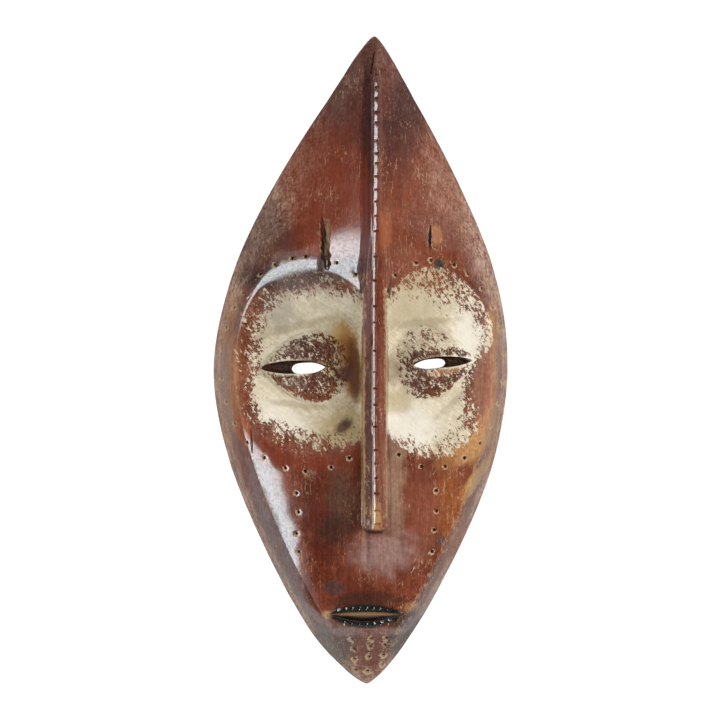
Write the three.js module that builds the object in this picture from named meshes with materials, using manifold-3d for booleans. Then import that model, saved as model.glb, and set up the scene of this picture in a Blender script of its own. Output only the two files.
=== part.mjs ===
// A carved wooden face mask with a pointed leaf outline: a notched ridge from the top of the head to
// the end of the nose, two wide sunken eye sockets with slit eyes, a small mouth and rows of drilled dots.
// Millimetres. The mask lies on its flat back rim with its face up (+Z) and the top of its head towards +Y.
// The origin is the middle of its footprint.

import * as THREE from 'three';
import { mergeVertices } from 'three/addons/utils/BufferGeometryUtils.js';
import Module from 'manifold-3d';

const { smoothstep, lerp, degToRad } = THREE.MathUtils;

// Outline
const TOP_Y = 180;            // tip of the head; the whole mask is 360 long
const CHIN_Y = -180;          // tip of the chin
const WIDEST_Y = -6;          // level of the widest place, just under the eyes
const HALF_WIDTH = 81.5;      // mean of the two sides
const SIDE_SHARE = { left: 1.099, right: 0.911 };  // the left side is carved fuller than the right
const RIDGE_X = 8;            // the ridge runs this far right of the middle of the footprint
const CHIN_LEAN = { by: 4.2, from: -45, to: -155 };  // the chin leans back to the left
const HEAD_LEAF = { power: 1.76, bluntness: 1.12 };
const CHIN_LEAF = { power: 1.6, bluntness: 0.78 };
const TIP_ROUND = 0.04;

// Heights above the rim
const FACE_RISE = 66;         // the face between the eyes, under the nose
const RIDGE_ON_HEAD = 2.6;    // how far the ridge stands off the face at the head, at the eyes and at its end
const RIDGE_AT_EYES = 7.4;
const RIDGE_AT_NOSE_END = 10.5;
const CHEEK_DROP = 20;        // how far the face falls back from the eyes to the mouth
const MOUTH_CREST = { y: -148.5, z: 45.5 };
const CHIN_SLOPE = 1.4;
// How the front falls away to the sides, with its slope at the outline, and the slope of the side wall there.
const CHEEK_FORM = { power: 4, slope: 1.15, wall: 5.4 };
const BROW_FORM = { power: 1.45, slope: 1, wall: 2.8 };
const CROWN_FORM = { power: 1.2, slope: 1.1, wall: 2.8 };
const CROWN_ABOVE = { from: 57, to: 84 };  // levels over which the brow turns into the crown
const SHOULDER_ROUND = 16;
const CREST_ROUND = 5;

// Hollow back
const RIM = 8;                // width of the flat rim at the sides
const HOLLOW_TOP_Y = 162;
const HOLLOW_CHIN_Y = -163;
const WALL = 11;              // wood behind the face, measured straight back
const HOLLOW_WALL_SLOPE = 5;

// Ridge and nose
const NOSE_END_Y = -91.8;
// The nose and the foot of the ridge: [y, half-width]
const NOSE_HALF = [[-92, 6.3], [-50, 6.2], [13, 5.9], [30, 5.3], [44, 4.3], [62, 2.9], [78, 1.8]];
const FLANK_FALL = { onFace: 0.18, onBrow: 0.45 };
const NOSE_WALL = { onFace: 8, onBrow: 1.1 };
const RIDGE_TOP_Y = 176;
// The rib along the ridge: [y, how far right of the ridge it runs, half-width, rise]
const RIB = [
  [-92, 1.4, 2.6, 1.6], [-70, 1.2, 2.5, 1.6], [-45, 0.4, 1.5, 1.5], [10, 0, 1.3, 1.5], [35, 0, 1.3, 1.4],
  [60, 0.3, 1.4, 1.5], [72, 0.8, 2.3, 2], [90, 1.3, 2.6, 2.3], [150, 1.7, 2.5, 2.1], [180, 0.6, 1.8, 0.5],
];
const NOTCH = { pitch: 7.6, width: 1.8, depth: 1.5, first: -84, last: 158 };

// Eyes, for the mean side: x is measured outwards from the ridge
const SOCKET = { x: 34.5, y: -2, halfX: 39, halfY: 53, depth: 14.5 };
const EYE_LINE_TILT = degToRad(2.2);
const EYE = { x: 34.6, y: -2.6, half: 24.2, height: 22, rise: 9.5 };
const SLIT = { x: 40, half: 17.6, height: 3.5, depth: 6 };
const PIERCED = { x: 32.6, half: 9, height: 2.8 };

// Mouth
const MOUTH = { x: -0.9, y: -138.7, half: 20.3, up: 1.8, down: 3.8, depth: 5.5 };
const LIP = { width: 3.4, rise: 1.2, notchPitch: 4, notchWidth: 1.6, notchesAbove: 9, notchesBelow: 8 };

// Drilled dots
const DOT = { radius: 1.15, tip: 0.7, depth: 2.6, sides: 5 };
const DOT_RING = { out: 5, count: 21, from: degToRad(37), to: degToRad(299), clearOfNose: 7.5 };
const CHEEK_DOTS = { x: 37.5, firstY: -71.5, pitch: 10.9, count: 4 };
const CHIN_DOTS = { x: 8.6, taper: 0.65, firstY: -152.8, pitch: 6, rows: 4 };

// Meshing
const GRID = { across: 18, along: 32 };
const REFINE_PASSES = 4;
const FRONT_CHORD_ERROR = 0.48;
const BACK_CHORD_ERROR = 1.2;
const SMALLEST_DETAIL = 0.08;
const PATCH_RINGS = [1.05, 1, 0.95, 0.85, 0.7, 0.48, 0.22];  // scales of a patch's outline, from its edge in
const WOOD_COLOUR = 0x5a2418;

const smoothMin = (a, b, r) => {
  const h = Math.max(r - Math.abs(a - b), 0) / r;
  return Math.min(a, b) - h * h * r / 4;
};

// Share of the half-width that a leaf outline has at y, from 1 at its widest to 0 at its tips.
function leaf(y, top, bottom) {
  const up = y > WIDEST_Y;
  const v = Math.min(1, Math.abs(y - WIDEST_Y) / (up ? top - WIDEST_Y : WIDEST_Y - bottom));
  const form = up ? HEAD_LEAF : CHIN_LEAF;
  const w = up ? Math.max(0, 1 - Math.sqrt((1 - v) * (1 - v + TIP_ROUND))) : v;
  return (1 - w ** form.power) ** form.bluntness;
}
const outerHalf = (y) => HALF_WIDTH * leaf(y, TOP_Y, CHIN_Y);
const hollowHalf = (y) => (HALF_WIDTH - RIM) * leaf(y, HOLLOW_TOP_Y, HOLLOW_CHIN_Y);

const axisX = (y) => RIDGE_X - CHIN_LEAN.by * smoothstep(-y, -CHIN_LEAN.from, -CHIN_LEAN.to);
const sideShare = (x) => (x < 0 ? SIDE_SHARE.left : SIDE_SHARE.right);
const placeX = (x, y) => axisX(y) + x * sideShare(x);   // x outwards from the ridge to the mask's own x

// Distance in from an outline of half-width function half, measured square to it.
function inFrom(half, x, y) {
  const step = 1;
  const slope = (half(y + step) - half(y - step)) / (2 * step);
  return (half(y) - Math.abs(x)) / Math.hypot(1, slope);
}

// Height of the face along its middle line, without the ridge.
function middleRise(y) {
  if (y > 0) return FACE_RISE * (1 - (y / TOP_Y) ** 2.2) ** 0.8;
  return FACE_RISE - CHEEK_DROP * (y / MOUTH_CREST.y) ** 2;
}
function ridgeRise(y) {
  const off = y > 0
    ? lerp(RIDGE_AT_EYES, RIDGE_ON_HEAD, smoothstep(y, 10, 90))
    : lerp(RIDGE_AT_EYES, RIDGE_AT_NOSE_END, y / NOSE_END_Y);
  return middleRise(y) + off * (1 - smoothstep(y, 150, RIDGE_TOP_Y));
}

// The plain form of the face before any eye, nose or mouth.
function plainFace(x, y) {
  const half = Math.max(outerHalf(y), 1e-6);
  const share = Math.min(1, Math.abs(x) / half);
  const [cheek, brow, crown] = [CHEEK_FORM, BROW_FORM, CROWN_FORM]
    .map(({ power, slope }) => slope * half / power * share ** power);
  const onHead = smoothstep(y, -12, 52);
  const onCrown = smoothstep(y, CROWN_ABOVE.from, CROWN_ABOVE.to);
  const dome = middleRise(y) - lerp(lerp(cheek, brow, onHead), crown, onCrown);
  const wallSlope = lerp(CHEEK_FORM.wall, BROW_FORM.wall, onHead);
  const chin = MOUTH_CREST.z + CHIN_SLOPE * (y - MOUTH_CREST.y);
  const front = smoothMin(dome, chin, CREST_ROUND);
  const wall = wallSlope * inFrom(outerHalf, x, y);
  const round = Math.min(SHOULDER_ROUND, wall + 1e-6);
  return Math.max(0, smoothMin(front, wall, round));
}

function socketDepth(x, y) {
  const a = Math.abs(x) - SOCKET.x;
  const b = y - SOCKET.y;
  const reach = Math.hypot(a / SOCKET.halfX, b / SOCKET.halfY);
  if (reach >= 1) return 0;
  const crisp = lerp(2.4, 4, smoothstep(b, -30, 30));
  const inner = 1 + 0.15 * smoothstep(-a, 0, 30);
  return SOCKET.depth * inner * (1 - reach ** crisp);
}

// Half-height of a form that is pointed at its outer end (t = 1) and round at its inner end (t = -1).
const almond = (t) => 0.92 * Math.sqrt(Math.max(0, 1 + t)) * Math.max(0, 1 - t) ** 0.85;

// How far an eye stands out of its socket, k being 0 at its middle and 1 at its edge.
const eyeRise = (k) => EYE.rise * Math.max(0, 1 - k * k) ** 0.62;

// The face with its two sockets. Eyes, lips, ridge and nose are forms of their own on it.
const socketedFace = (x, y) => plainFace(x, y) - socketDepth(x, y);

// The same, at the mask's own x.
function faceAt(x, y) {
  const out = x - axisX(y);
  return socketedFace(out / sideShare(out), y);
}

function hollow(x, y) {
  const ceiling = plainFace(x, y) - 0.85 * socketDepth(x, y) - WALL;
  const wall = HOLLOW_WALL_SLOPE * inFrom(hollowHalf, x, y);
  return Math.max(0, smoothMin(Math.max(0, ceiling), wall, Math.min(10, wall + 1e-6)));
}

const wasm = await Module();
wasm.setup();

// A closed mesh as a manifold-3d solid. Points that fall together are merged and faces with no area dropped.
function solidOf(positions, triangles) {
  const geometry = new THREE.BufferGeometry();
  geometry.setAttribute('position', new THREE.Float32BufferAttribute(positions, 3));
  geometry.setIndex(triangles);
  const merged = mergeVertices(geometry, 1e-4);
  const old = merged.index.array;
  const kept = [];
  for (let i = 0; i < old.length; i += 3) {
    const [a, b, c] = [old[i], old[i + 1], old[i + 2]];
    if (a !== b && b !== c && c !== a) kept.push(a, b, c);
  }
  return new wasm.Manifold(new wasm.Mesh({
    numProp: 3,
    vertProperties: merged.attributes.position.array,
    triVerts: new Uint32Array(kept),
  }));
}
function solidOfGeometry(geometry) {
  const flat = geometry.index ? geometry.toNonIndexed() : geometry;
  const array = flat.attributes.position.array;
  return solidOf(Array.from(array), Array.from({ length: array.length / 3 }, (_, i) => i));
}

// Triangles over the square -1..1 by -1..1, split wherever the straight edge would leave the surface.
function adaptiveGrid(pointAt, chordError) {
  const points = [];
  const corners = [];
  const add = (s, t) => {
    corners.push([s, t]);
    points.push(pointAt(s, t));
    return points.length - 1;
  };
  for (let j = 0; j <= GRID.along; j++) {
    for (let i = 0; i <= GRID.across; i++) add(2 * i / GRID.across - 1, 2 * j / GRID.along - 1);
  }
  let faces = [];
  const row = GRID.across + 1;
  for (let j = 0; j < GRID.along; j++) {
    for (let i = 0; i < GRID.across; i++) {
      const a = j * row + i;
      const mirrored = (i < GRID.across / 2) === (j < GRID.along / 2);
      if (mirrored) faces.push([a, a + 1, a + row], [a + 1, a + row + 1, a + row]);
      else faces.push([a, a + 1, a + row + 1], [a, a + row + 1, a + row]);
    }
  }
  for (let pass = 0; pass < REFINE_PASSES; pass++) {
    const middles = new Map();
    const middleOf = (a, b) => {
      const key = a < b ? `${a},${b}` : `${b},${a}`;
      if (!middles.has(key)) {
        const s = (corners[a][0] + corners[b][0]) / 2;
        const t = (corners[a][1] + corners[b][1]) / 2;
        const on = pointAt(s, t);
        const chord = points[a].clone().lerp(points[b], 0.5);
        middles.set(key, on.distanceTo(chord) > chordError ? add(s, t) : -1);
      }
      return middles.get(key);
    };
    const next = [];
    for (const [a, b, c] of faces) {
      const [ab, bc, ca] = [middleOf(a, b), middleOf(b, c), middleOf(c, a)];
      const split = (ab >= 0) + (bc >= 0) + (ca >= 0);
      if (split === 0) next.push([a, b, c]);
      else if (split === 3) next.push([a, ab, ca], [ab, b, bc], [ca, bc, c], [ab, bc, ca]);
      else {
        // Turned so that the first edge is split and, where two are, the last is whole.
        let [p, q, r, pq, qr] = [a, b, c, ab, bc];
        if (split === 1) {
          if (bc >= 0) [p, q, r, pq] = [b, c, a, bc];
          if (ca >= 0) [p, q, r, pq] = [c, a, b, ca];
          next.push([p, pq, r], [pq, q, r]);
        } else {
          if (ab < 0) [p, q, r, pq, qr] = [b, c, a, bc, ca];
          if (bc < 0) [p, q, r, pq, qr] = [c, a, b, ca, ab];
          next.push([pq, q, qr], [p, pq, qr], [p, qr, r]);
        }
      }
    }
    faces = next;
  }
  return { points, faces, corners };
}

// A solid under a surface that comes down to the floor all round a leaf outline. skirt carries it on below.
function domeSolid(half, top, bottom, heightAt, skirt, chordError) {
  const pointAt = (s, t) => {
    const y = WIDEST_Y + Math.sin(t * Math.PI / 2) * (t > 0 ? top - WIDEST_Y : WIDEST_Y - bottom);
    const x = half(y) * Math.sin(s * Math.PI / 2);
    const onEdge = Math.abs(s) === 1 || Math.abs(t) === 1;
    return new THREE.Vector3(placeX(x, y), y, onEdge ? 0 : heightAt(x, y));
  };
  const { points, faces, corners } = adaptiveGrid(pointAt, chordError);
  const edgeOn = (sign) => corners
    .map(([s, t], i) => ({ s, t, i }))
    .filter(({ s, t }) => s === sign && Math.abs(t) < 1)
    .sort((a, b) => a.t - b.t)
    .map(({ i }) => i);
  const tip = (t) => corners.findIndex(([, v]) => v === t);
  const loop = [tip(-1), ...edgeOn(1), tip(1), ...edgeOn(-1).reverse()];
  const positions = points.flatMap((p) => p.toArray());
  const triangles = faces.flat();
  let base = loop;
  if (skirt > 0) {
    base = loop.map((i) => positions.push(points[i].x, points[i].y, -skirt) / 3 - 1);
    loop.forEach((a, i) => {
      const j = (i + 1) % loop.length;
      triangles.push(a, base[i], loop[j], loop[j], base[i], base[j]);
    });
  }
  const contour = loop.map((i) => new THREE.Vector2(points[i].x, points[i].y));
  const floor = THREE.ShapeUtils.triangulateShape(contour, []);
  for (const [a, b, c] of floor) triangles.push(base[c], base[b], base[a]);
  return solidOf(positions, triangles);
}

// A solid through matching rings of points, closed at both ends.
function loftSolid(rings) {
  const n = rings[0].length;
  const positions = rings.flat().flatMap((p) => p.toArray());
  const triangles = [];
  for (let k = 0; k + 1 < rings.length; k++) {
    for (let i = 0; i < n; i++) {
      const a = k * n + i;
      const b = k * n + (i + 1) % n;
      triangles.push(a, b, a + n, b, b + n, a + n);
    }
  }
  const last = (rings.length - 1) * n;
  for (let i = 1; i + 1 < n; i++) {
    triangles.push(0, i + 1, i);
    triangles.push(last, last + i, last + i + 1);
  }
  return solidOf(positions, triangles);
}

// The values at y in a table whose rows start with y.
function at(table, y) {
  const next = table.findIndex(([v]) => v > y);
  if (next <= 0) return table[next === 0 ? 0 : table.length - 1].slice(1);
  const [from, to] = [table[next - 1], table[next]];
  const share = (y - from[0]) / (to[0] - from[0]);
  return from.slice(1).map((v, i) => lerp(v, to[i + 1], share));
}

// The ridge with the rib along it, from the head's tip to the end of the nose.
function ridgeSolid() {
  const rings = [];
  const steps = 36;
  for (let k = 0; k <= steps; k++) {
    const y = lerp(NOSE_END_Y, RIDGE_TOP_Y, k / steps);
    const z = ridgeRise(y);
    const onBrow = smoothstep(y, 12, 50);
    const fall = lerp(FLANK_FALL.onFace, FLANK_FALL.onBrow, onBrow);
    const [ribX, ribHalf, ribRise] = at(RIB, y);
    const edge = Math.min(at(NOSE_HALF, y)[0], 0.6 * outerHalf(y));
    const spread = Math.min(edge + lerp(1, 7, onBrow), 0.7 * outerHalf(y));
    const low = Math.max(0, Math.min(faceAt(RIDGE_X + spread, y), faceAt(RIDGE_X - spread, y)) - 2);
    const edgeZ = z - fall * edge;
    const wall = lerp(NOSE_WALL.onFace, NOSE_WALL.onBrow, onBrow);
    const foot = Math.min(edge + (edgeZ - low) / wall, edge + 7, 0.7 * outerHalf(y));
    const rise = ribRise * (1 - smoothstep(y, RIDGE_TOP_Y - 12, RIDGE_TOP_Y));
    const [left, right] = [Math.max(ribX - ribHalf, -0.9 * edge), Math.min(ribX + ribHalf, 0.9 * edge)];
    const [middle, half] = [(left + right) / 2, 0.3 * (right - left)];
    const section = [
      [-foot, low], [foot, low], [edge, edgeZ], [right, z - fall * Math.abs(right)],
      [middle + half, z + rise], [middle - half, z + rise], [left, z - fall * Math.abs(left)], [-edge, edgeZ],
    ];
    rings.push(section.map(([x, h]) => new THREE.Vector3(RIDGE_X + x, y, h)));
  }
  return loftSolid(rings.reverse());
}

// A bar with a wedge-shaped underside, laid across the rib.
function notchSolid(y) {
  const [ribX, ribHalf, ribRise] = at(RIB, y);
  const z = ridgeRise(y) + ribRise;
  const [w, d, up] = [NOTCH.width / 2, NOTCH.depth, 2];
  const section = [[-w, up], [0, -d], [w, up]];
  const ring = (x) => section.map(([b, h]) => new THREE.Vector3(RIDGE_X + ribX + x, y + b, z + h));
  return loftSolid([ring(-ribHalf - 1), ring(ribHalf + 1)]);
}

// Where a place on an eye's own line is, along it from the middle and with x growing outwards.
const onEyeLine = (side, x) => [side * x, EYE.y + side * x * Math.tan(EYE_LINE_TILT)];

// A wedge that follows the eye's bulge from one end of the slit to the other.
function slitSolid(side) {
  const rings = [];
  const steps = 12;
  const above = 3;
  for (let i = 1; i < steps; i++) {
    const t = 2 * i / steps - 1;
    const out = SLIT.x + SLIT.half * t;
    const [x, y] = onEyeLine(side, out);
    const depth = SLIT.depth * Math.sqrt(1 - t * t);
    const half = SLIT.height * (1 - t * t) ** 0.75 * (depth + above) / depth;
    const z = socketedFace(x, y) + eyeRise((out - EYE.x) / EYE.half);
    rings.push([[half, above], [0, -depth], [-half, above]]
      .map(([b, h]) => new THREE.Vector3(placeX(x, y), y + b, z + h)));
  }
  return loftSolid(side > 0 ? rings.reverse() : rings);
}

function pierceSolid(side) {
  const [x, y] = onEyeLine(side, PIERCED.x);
  const outline = anglesRound(20).map((a) => {
    const across = Math.sign(Math.sin(a)) * Math.abs(Math.sin(a)) ** 0.7;
    return new THREE.Vector2(PIERCED.half * Math.cos(a), PIERCED.height * across);
  });
  const geometry = new THREE.ExtrudeGeometry(new THREE.Shape(outline), { depth: 60, bevelEnabled: false });
  geometry.rotateZ(EYE_LINE_TILT);
  geometry.translate(placeX(x, y), y, 15);
  return solidOfGeometry(geometry);
}

const anglesRound = (count) => Array.from({ length: count }, (_, i) => 2 * Math.PI * i / count);

// Points round a lens that lies along x, from corner to corner over the top and back under it.
function lensPoints(half, up, down, steps) {
  return anglesRound(2 * steps).map((a) => {
    const t = Math.cos(a);
    return [half * t, (a < Math.PI ? up : -down) * (1 - t * t)];
  });
}

function mouthSolid() {
  const outline = lensPoints(MOUTH.half, MOUTH.up, MOUTH.down, 12)
    .map((point) => new THREE.Vector2(...point));
  const geometry = new THREE.ExtrudeGeometry(new THREE.Shape(outline), { depth: 20, bevelEnabled: false });
  geometry.translate(placeX(MOUTH.x, MOUTH.y), MOUTH.y, plainFace(MOUTH.x, MOUTH.y) - MOUTH.depth);
  return solidOfGeometry(geometry);
}

// A solid whose one side follows the face: rings of an outline about a middle, the outermost a little
// past its edge. heightAt(x, y, k) is that side, k being 0 at the middle and 1 at the edge, and far is
// where it ends.
function patchSolid(side, middle, outline, heightAt, far) {
  const ring = (k, height) => outline.map(([a, b]) => {
    const x = middle.x + a * k;
    const y = middle.y + b * k;
    return new THREE.Vector3(axisX(y) + side * x * sideShare(side), y, height(x, y, k));
  });
  const farEnd = ring(PATCH_RINGS[0], (x, y) => socketedFace(x, y) + far);
  const rings = [farEnd, ...PATCH_RINGS.map((k) => ring(k, heightAt))];
  const flipped = (side > 0) === (far > 0);
  return loftSolid(flipped ? rings.map((r) => r.reverse()) : rings);
}

function socketSolid(side) {
  const outline = anglesRound(42).map((a) => [SOCKET.halfX * Math.cos(a), SOCKET.halfY * Math.sin(a)]);
  return patchSolid(side, SOCKET, outline, (x, y, k) => socketedFace(x, y) + (k > 1 ? 1.5 : 0), 30);
}

function eyeSolid(side) {
  const outline = anglesRound(32).map((a) => {
    const along = EYE.half * Math.cos(a);
    const across = EYE.height * almond(Math.cos(a)) * Math.sign(Math.PI - a);
    return [along, across + side * along * Math.tan(EYE_LINE_TILT)];
  });
  const [, middleY] = onEyeLine(side, EYE.x);
  const height = (x, y, k) => socketedFace(x, y) + (k > 1 ? -1.5 : eyeRise(k));
  return patchSolid(side, { x: EYE.x, y: middleY }, outline, height, -4);
}

function lipsSolid() {
  const outline = lensPoints(MOUTH.half + LIP.width, MOUTH.up + LIP.width, MOUTH.down + LIP.width, 14);
  const rise = (k) => (k > 1 ? -0.7 : LIP.rise * Math.sqrt(1 - k ** 4));
  return patchSolid(1, MOUTH, outline, (x, y, k) => socketedFace(x, y) + rise(k), -4);
}

// Wedges across the lips, as on the ridge but running up and down.
function lipNotches() {
  const wedges = [];
  for (const [count, sign, edge] of [[LIP.notchesAbove, 1, MOUTH.up], [LIP.notchesBelow, -1, -MOUTH.down]]) {
    for (let i = 0; i < count; i++) {
      const x = MOUTH.x + LIP.notchPitch * (i - (count - 1) / 2);
      const t = (x - MOUTH.x) / MOUTH.half;
      const from = MOUTH.y + edge * (1 - t * t);
      const ends = [from - sign, from + sign * (LIP.width + 0.5)].sort((a, b) => a - b);
      const half = LIP.notchWidth / 2;
      wedges.push(loftSolid(ends.map((y) => [[-half, 2], [half, 2], [0, -0.3]]
        .map(([a, h]) => new THREE.Vector3(placeX(x + a, y), y, socketedFace(x, y) + LIP.rise + h - 0.5)))));
    }
  }
  return wedges;
}

// Where the drilled dots are: a ring round each socket, a row down each cheek and three rows on the chin.
function dotPlaces() {
  const places = [];
  for (const side of [-1, 1]) {
    for (let i = 0; i < DOT_RING.count; i++) {
      const a = lerp(DOT_RING.from, DOT_RING.to, i / (DOT_RING.count - 1));
      const x = Math.max(DOT_RING.clearOfNose, SOCKET.x - (SOCKET.halfX + DOT_RING.out) * Math.cos(a));
      const y = SOCKET.y + (SOCKET.halfY + DOT_RING.out) * Math.sin(a);
      places.push([side * x, y]);
    }
    for (let i = 0; i < CHEEK_DOTS.count; i++) {
      places.push([side * CHEEK_DOTS.x, CHEEK_DOTS.firstY - i * CHEEK_DOTS.pitch]);
    }
  }
  for (const column of [-1, 0, 1]) {
    for (let i = 0; i < CHIN_DOTS.rows; i++) {
      places.push([column * (CHIN_DOTS.x - CHIN_DOTS.taper * i), CHIN_DOTS.firstY - i * CHIN_DOTS.pitch]);
    }
  }
  return places;
}

// A short tapered bore, square to the face.
function dotSolid([x, y]) {
  const step = 0.8;
  const at = (dx, dy) => new THREE.Vector3(placeX(x + dx, y + dy), y + dy, socketedFace(x + dx, y + dy));
  const normal = at(step, 0).sub(at(-step, 0)).cross(at(0, step).sub(at(0, -step))).normalize();
  const geometry = new THREE.CylinderGeometry(DOT.radius, DOT.tip, DOT.depth, DOT.sides);
  geometry.deleteAttribute('uv');
  geometry.applyQuaternion(new THREE.Quaternion().setFromUnitVectors(new THREE.Vector3(0, 1, 0), normal));
  const centre = at(0, 0).addScaledVector(normal, -DOT.depth * 0.3);
  geometry.translate(centre.x, centre.y, centre.z);
  return solidOfGeometry(geometry);
}

function maskGeometry() {
  const both = [-1, 1];
  let mask = domeSolid(outerHalf, TOP_Y, CHIN_Y, plainFace, 0, FRONT_CHORD_ERROR);
  for (const side of both) mask = mask.subtract(socketSolid(side)).add(eyeSolid(side));
  mask = mask.add(ridgeSolid()).add(lipsSolid());
  mask = mask.subtract(domeSolid(hollowHalf, HOLLOW_TOP_Y, HOLLOW_CHIN_Y, hollow, 4, BACK_CHORD_ERROR));
  for (const side of both) mask = mask.subtract(slitSolid(side)).subtract(pierceSolid(side));
  mask = mask.subtract(mouthSolid());
  for (const wedge of lipNotches()) mask = mask.subtract(wedge);
  for (let y = NOTCH.first; y <= NOTCH.last; y += NOTCH.pitch) mask = mask.subtract(notchSolid(y));
  for (const place of dotPlaces()) mask = mask.subtract(dotSolid(place));
  const mesh = mask.simplify(SMALLEST_DETAIL).getMesh();
  const geometry = new THREE.BufferGeometry();
  geometry.setAttribute('position', new THREE.BufferAttribute(mesh.vertProperties, 3));
  geometry.setIndex(new THREE.BufferAttribute(mesh.triVerts, 1));
  geometry.computeVertexNormals();
  return geometry;
}

const wood = new THREE.MeshStandardMaterial({ color: WOOD_COLOUR, roughness: 0.35, metalness: 0 });
const mask = new THREE.Mesh(maskGeometry(), wood);
mask.name = 'mask';
const group = new THREE.Group();
group.add(mask);

export default group;
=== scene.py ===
import math

import bpy
import numpy as np
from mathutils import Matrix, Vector


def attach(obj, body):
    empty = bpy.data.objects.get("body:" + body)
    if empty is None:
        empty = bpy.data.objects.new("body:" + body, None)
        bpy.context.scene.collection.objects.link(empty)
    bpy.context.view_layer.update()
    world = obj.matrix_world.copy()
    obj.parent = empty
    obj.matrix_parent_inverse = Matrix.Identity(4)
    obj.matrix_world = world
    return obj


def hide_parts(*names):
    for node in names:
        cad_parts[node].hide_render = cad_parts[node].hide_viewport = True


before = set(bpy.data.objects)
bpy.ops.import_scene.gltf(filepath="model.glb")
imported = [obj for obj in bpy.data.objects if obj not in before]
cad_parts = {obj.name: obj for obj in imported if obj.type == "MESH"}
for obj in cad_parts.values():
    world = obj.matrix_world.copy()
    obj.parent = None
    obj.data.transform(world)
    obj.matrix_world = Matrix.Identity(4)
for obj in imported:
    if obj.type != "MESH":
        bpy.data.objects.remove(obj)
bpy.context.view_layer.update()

# The carving is worked out in millimetres and becomes metres when its mesh is made:
# x to the viewer's right, y to the top of the head, z out of the face, with the rim on z = 0.

mask = {
    "topY": 180.0, "chinY": -180.0, "widestY": -6.0, "halfWidth": 81.5,
    "ridgeX": 8.0,                       # the ridge runs right of the middle
    "chinLean": (4.2, 45.0, 155.0),      # how far the chin leans to the left, and from where to where
    "headLeaf": (1.76, 1.12), "chinLeaf": (1.6, 0.78), "tipRound": 0.04,
    # how full each side is beside a plain leaf, from the chin up
    "fullAtY": (-180, -171, -162, -153, -140, -120, -100, -80, -60, -40,
                -20, 0, 30, 60, 90, 120, 145, 158, 168, 180),
    "fullLeft": (1.25, 1.13, 1.14, 1.12, 1.078, 1.064, 1.074, 1.092, 1.107, 1.106,
                 1.102, 1.095, 1.087, 1.088, 1.078, 1.07, 1.065, 1.1, 1.2, 1.32),
    "fullRight": (0.95, 0.935, 0.924, 0.915, 0.918, 0.906, 0.907, 0.911, 0.914, 0.912,
                  0.91, 0.908, 0.92, 0.926, 0.913, 0.912, 0.918, 0.96, 1.04, 1.2),
    "faceRise": 66.0, "cheekDrop": 20.0, "headArch": (2.2, 0.8),
    "crestY": -148.5, "crestZ": 45.5, "chinSlope": 1.4, "crestRound": 5.0,
    # how the front falls away to the sides: power, slope at the outline, and where one form becomes the next
    "faceForm": (4.0, 1.15), "browForm": (1.45, 0.93), "crownForm": (1.2, 1.1),
    "browFrom": (-12.0, 52.0), "crownFrom": (57.0, 84.0),
    "sideSlope": (5.4, 2.8), "shoulderRound": 16.0, "edgeSlope": 6.0, "rimEdge": 0.8,
    "waver": 0.2, "waverFrom": (2, 12), "waves": 14, "waveSize": (12.0, 45.0), "waveSeed": 7,
}
hollowBack = {
    "rim": 8.0, "topY": 162.0, "chinY": -163.0, "wall": 11.0, "wallSlope": 5.0, "wallRound": 10.0,
    "socketShare": 0.85,                 # how much of a socket's depth shows behind
}
nose = {
    "endY": -91.8, "lean": (0.4, 30.0, 70.0),
    "atY": (-92, -50, 13, 30, 44, 62, 78), "half": (6.3, 6.2, 5.9, 5.3, 4.3, 2.9, 1.8),
    # the fall of the flat top to its edges and of the side walls, on the face and on the brow
    "flankFall": (0.18, 0.12), "flankY": (15, 45), "wallSlope": (8.0, 0.75), "wallY": (12, 50),
    "wallFlare": 0.08, "edgeRound": 0.3, "intoFace": 1.6,
    "endSlope": 6.0, "endSink": 1.0, "endRound": 1.6, "cornerBack": 1.8, "cornerTo": 1.2, "cornerPower": 4,
    "mounds": ((5.3, -87.8), (12.0, -88.4)), "moundRise": 0.4, "moundSpread": 3.0,
    "onHead": 2.6, "onEyes": 7.4, "onEnd": 10.5, "onHeadY": (10, 90), "fadeY": (150, 176),
    # the notched rib along the ridge: how far right of the ridge it runs, half its width, and its height
    "ribAtY": (-92, -70, -45, 10, 35, 60, 72, 90, 150, 180),
    "ribRight": (1.4, 1.2, 0.4, 0.0, 0.0, 0.3, 0.8, 1.3, 1.7, 0.6),
    "ribHalf": (2.6, 2.5, 1.5, 1.25, 1.25, 1.4, 2.3, 2.6, 2.5, 1.8),
    "ribRise": (1.5, 1.5, 1.0, 0.9, 0.9, 1.1, 1.9, 2.0, 1.9, 0.5),
    "ribRoof": (0.35, 0.75), "ribRoofY": (55, 72), "ribEdge": 0.72, "ribEndY": (162.0, 176.0),
    "ribStart": (0.2, 2.5), "beadSag": (0.36, 0.2), "bigBeadsFromY": 66.0,
    "flute": (4.8, 0.7, 2.0),            # beside the rib on the head: how far left, how deep and how wide
    "fluteY": (50, 75),
}
sockets = {
    "left": {"side": -1, "x": -28.9, "y": -2.0, "halfX": 42.6, "halfY": 53.4, "depth": 15.0},
    "right": {"side": 1, "x": 40.1, "y": -2.0, "halfX": 34.4, "halfY": 51.5, "depth": 14.0},
}
socketForm = {
    "crisp": (2.4, 4.0), "crispY": (-30, 30), "deeperByNose": 0.15, "deeperX": (0, 30),
    "roll": (6.5, 4.0), "rollY": (-25, 25), "least": -8.0,
}
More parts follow.
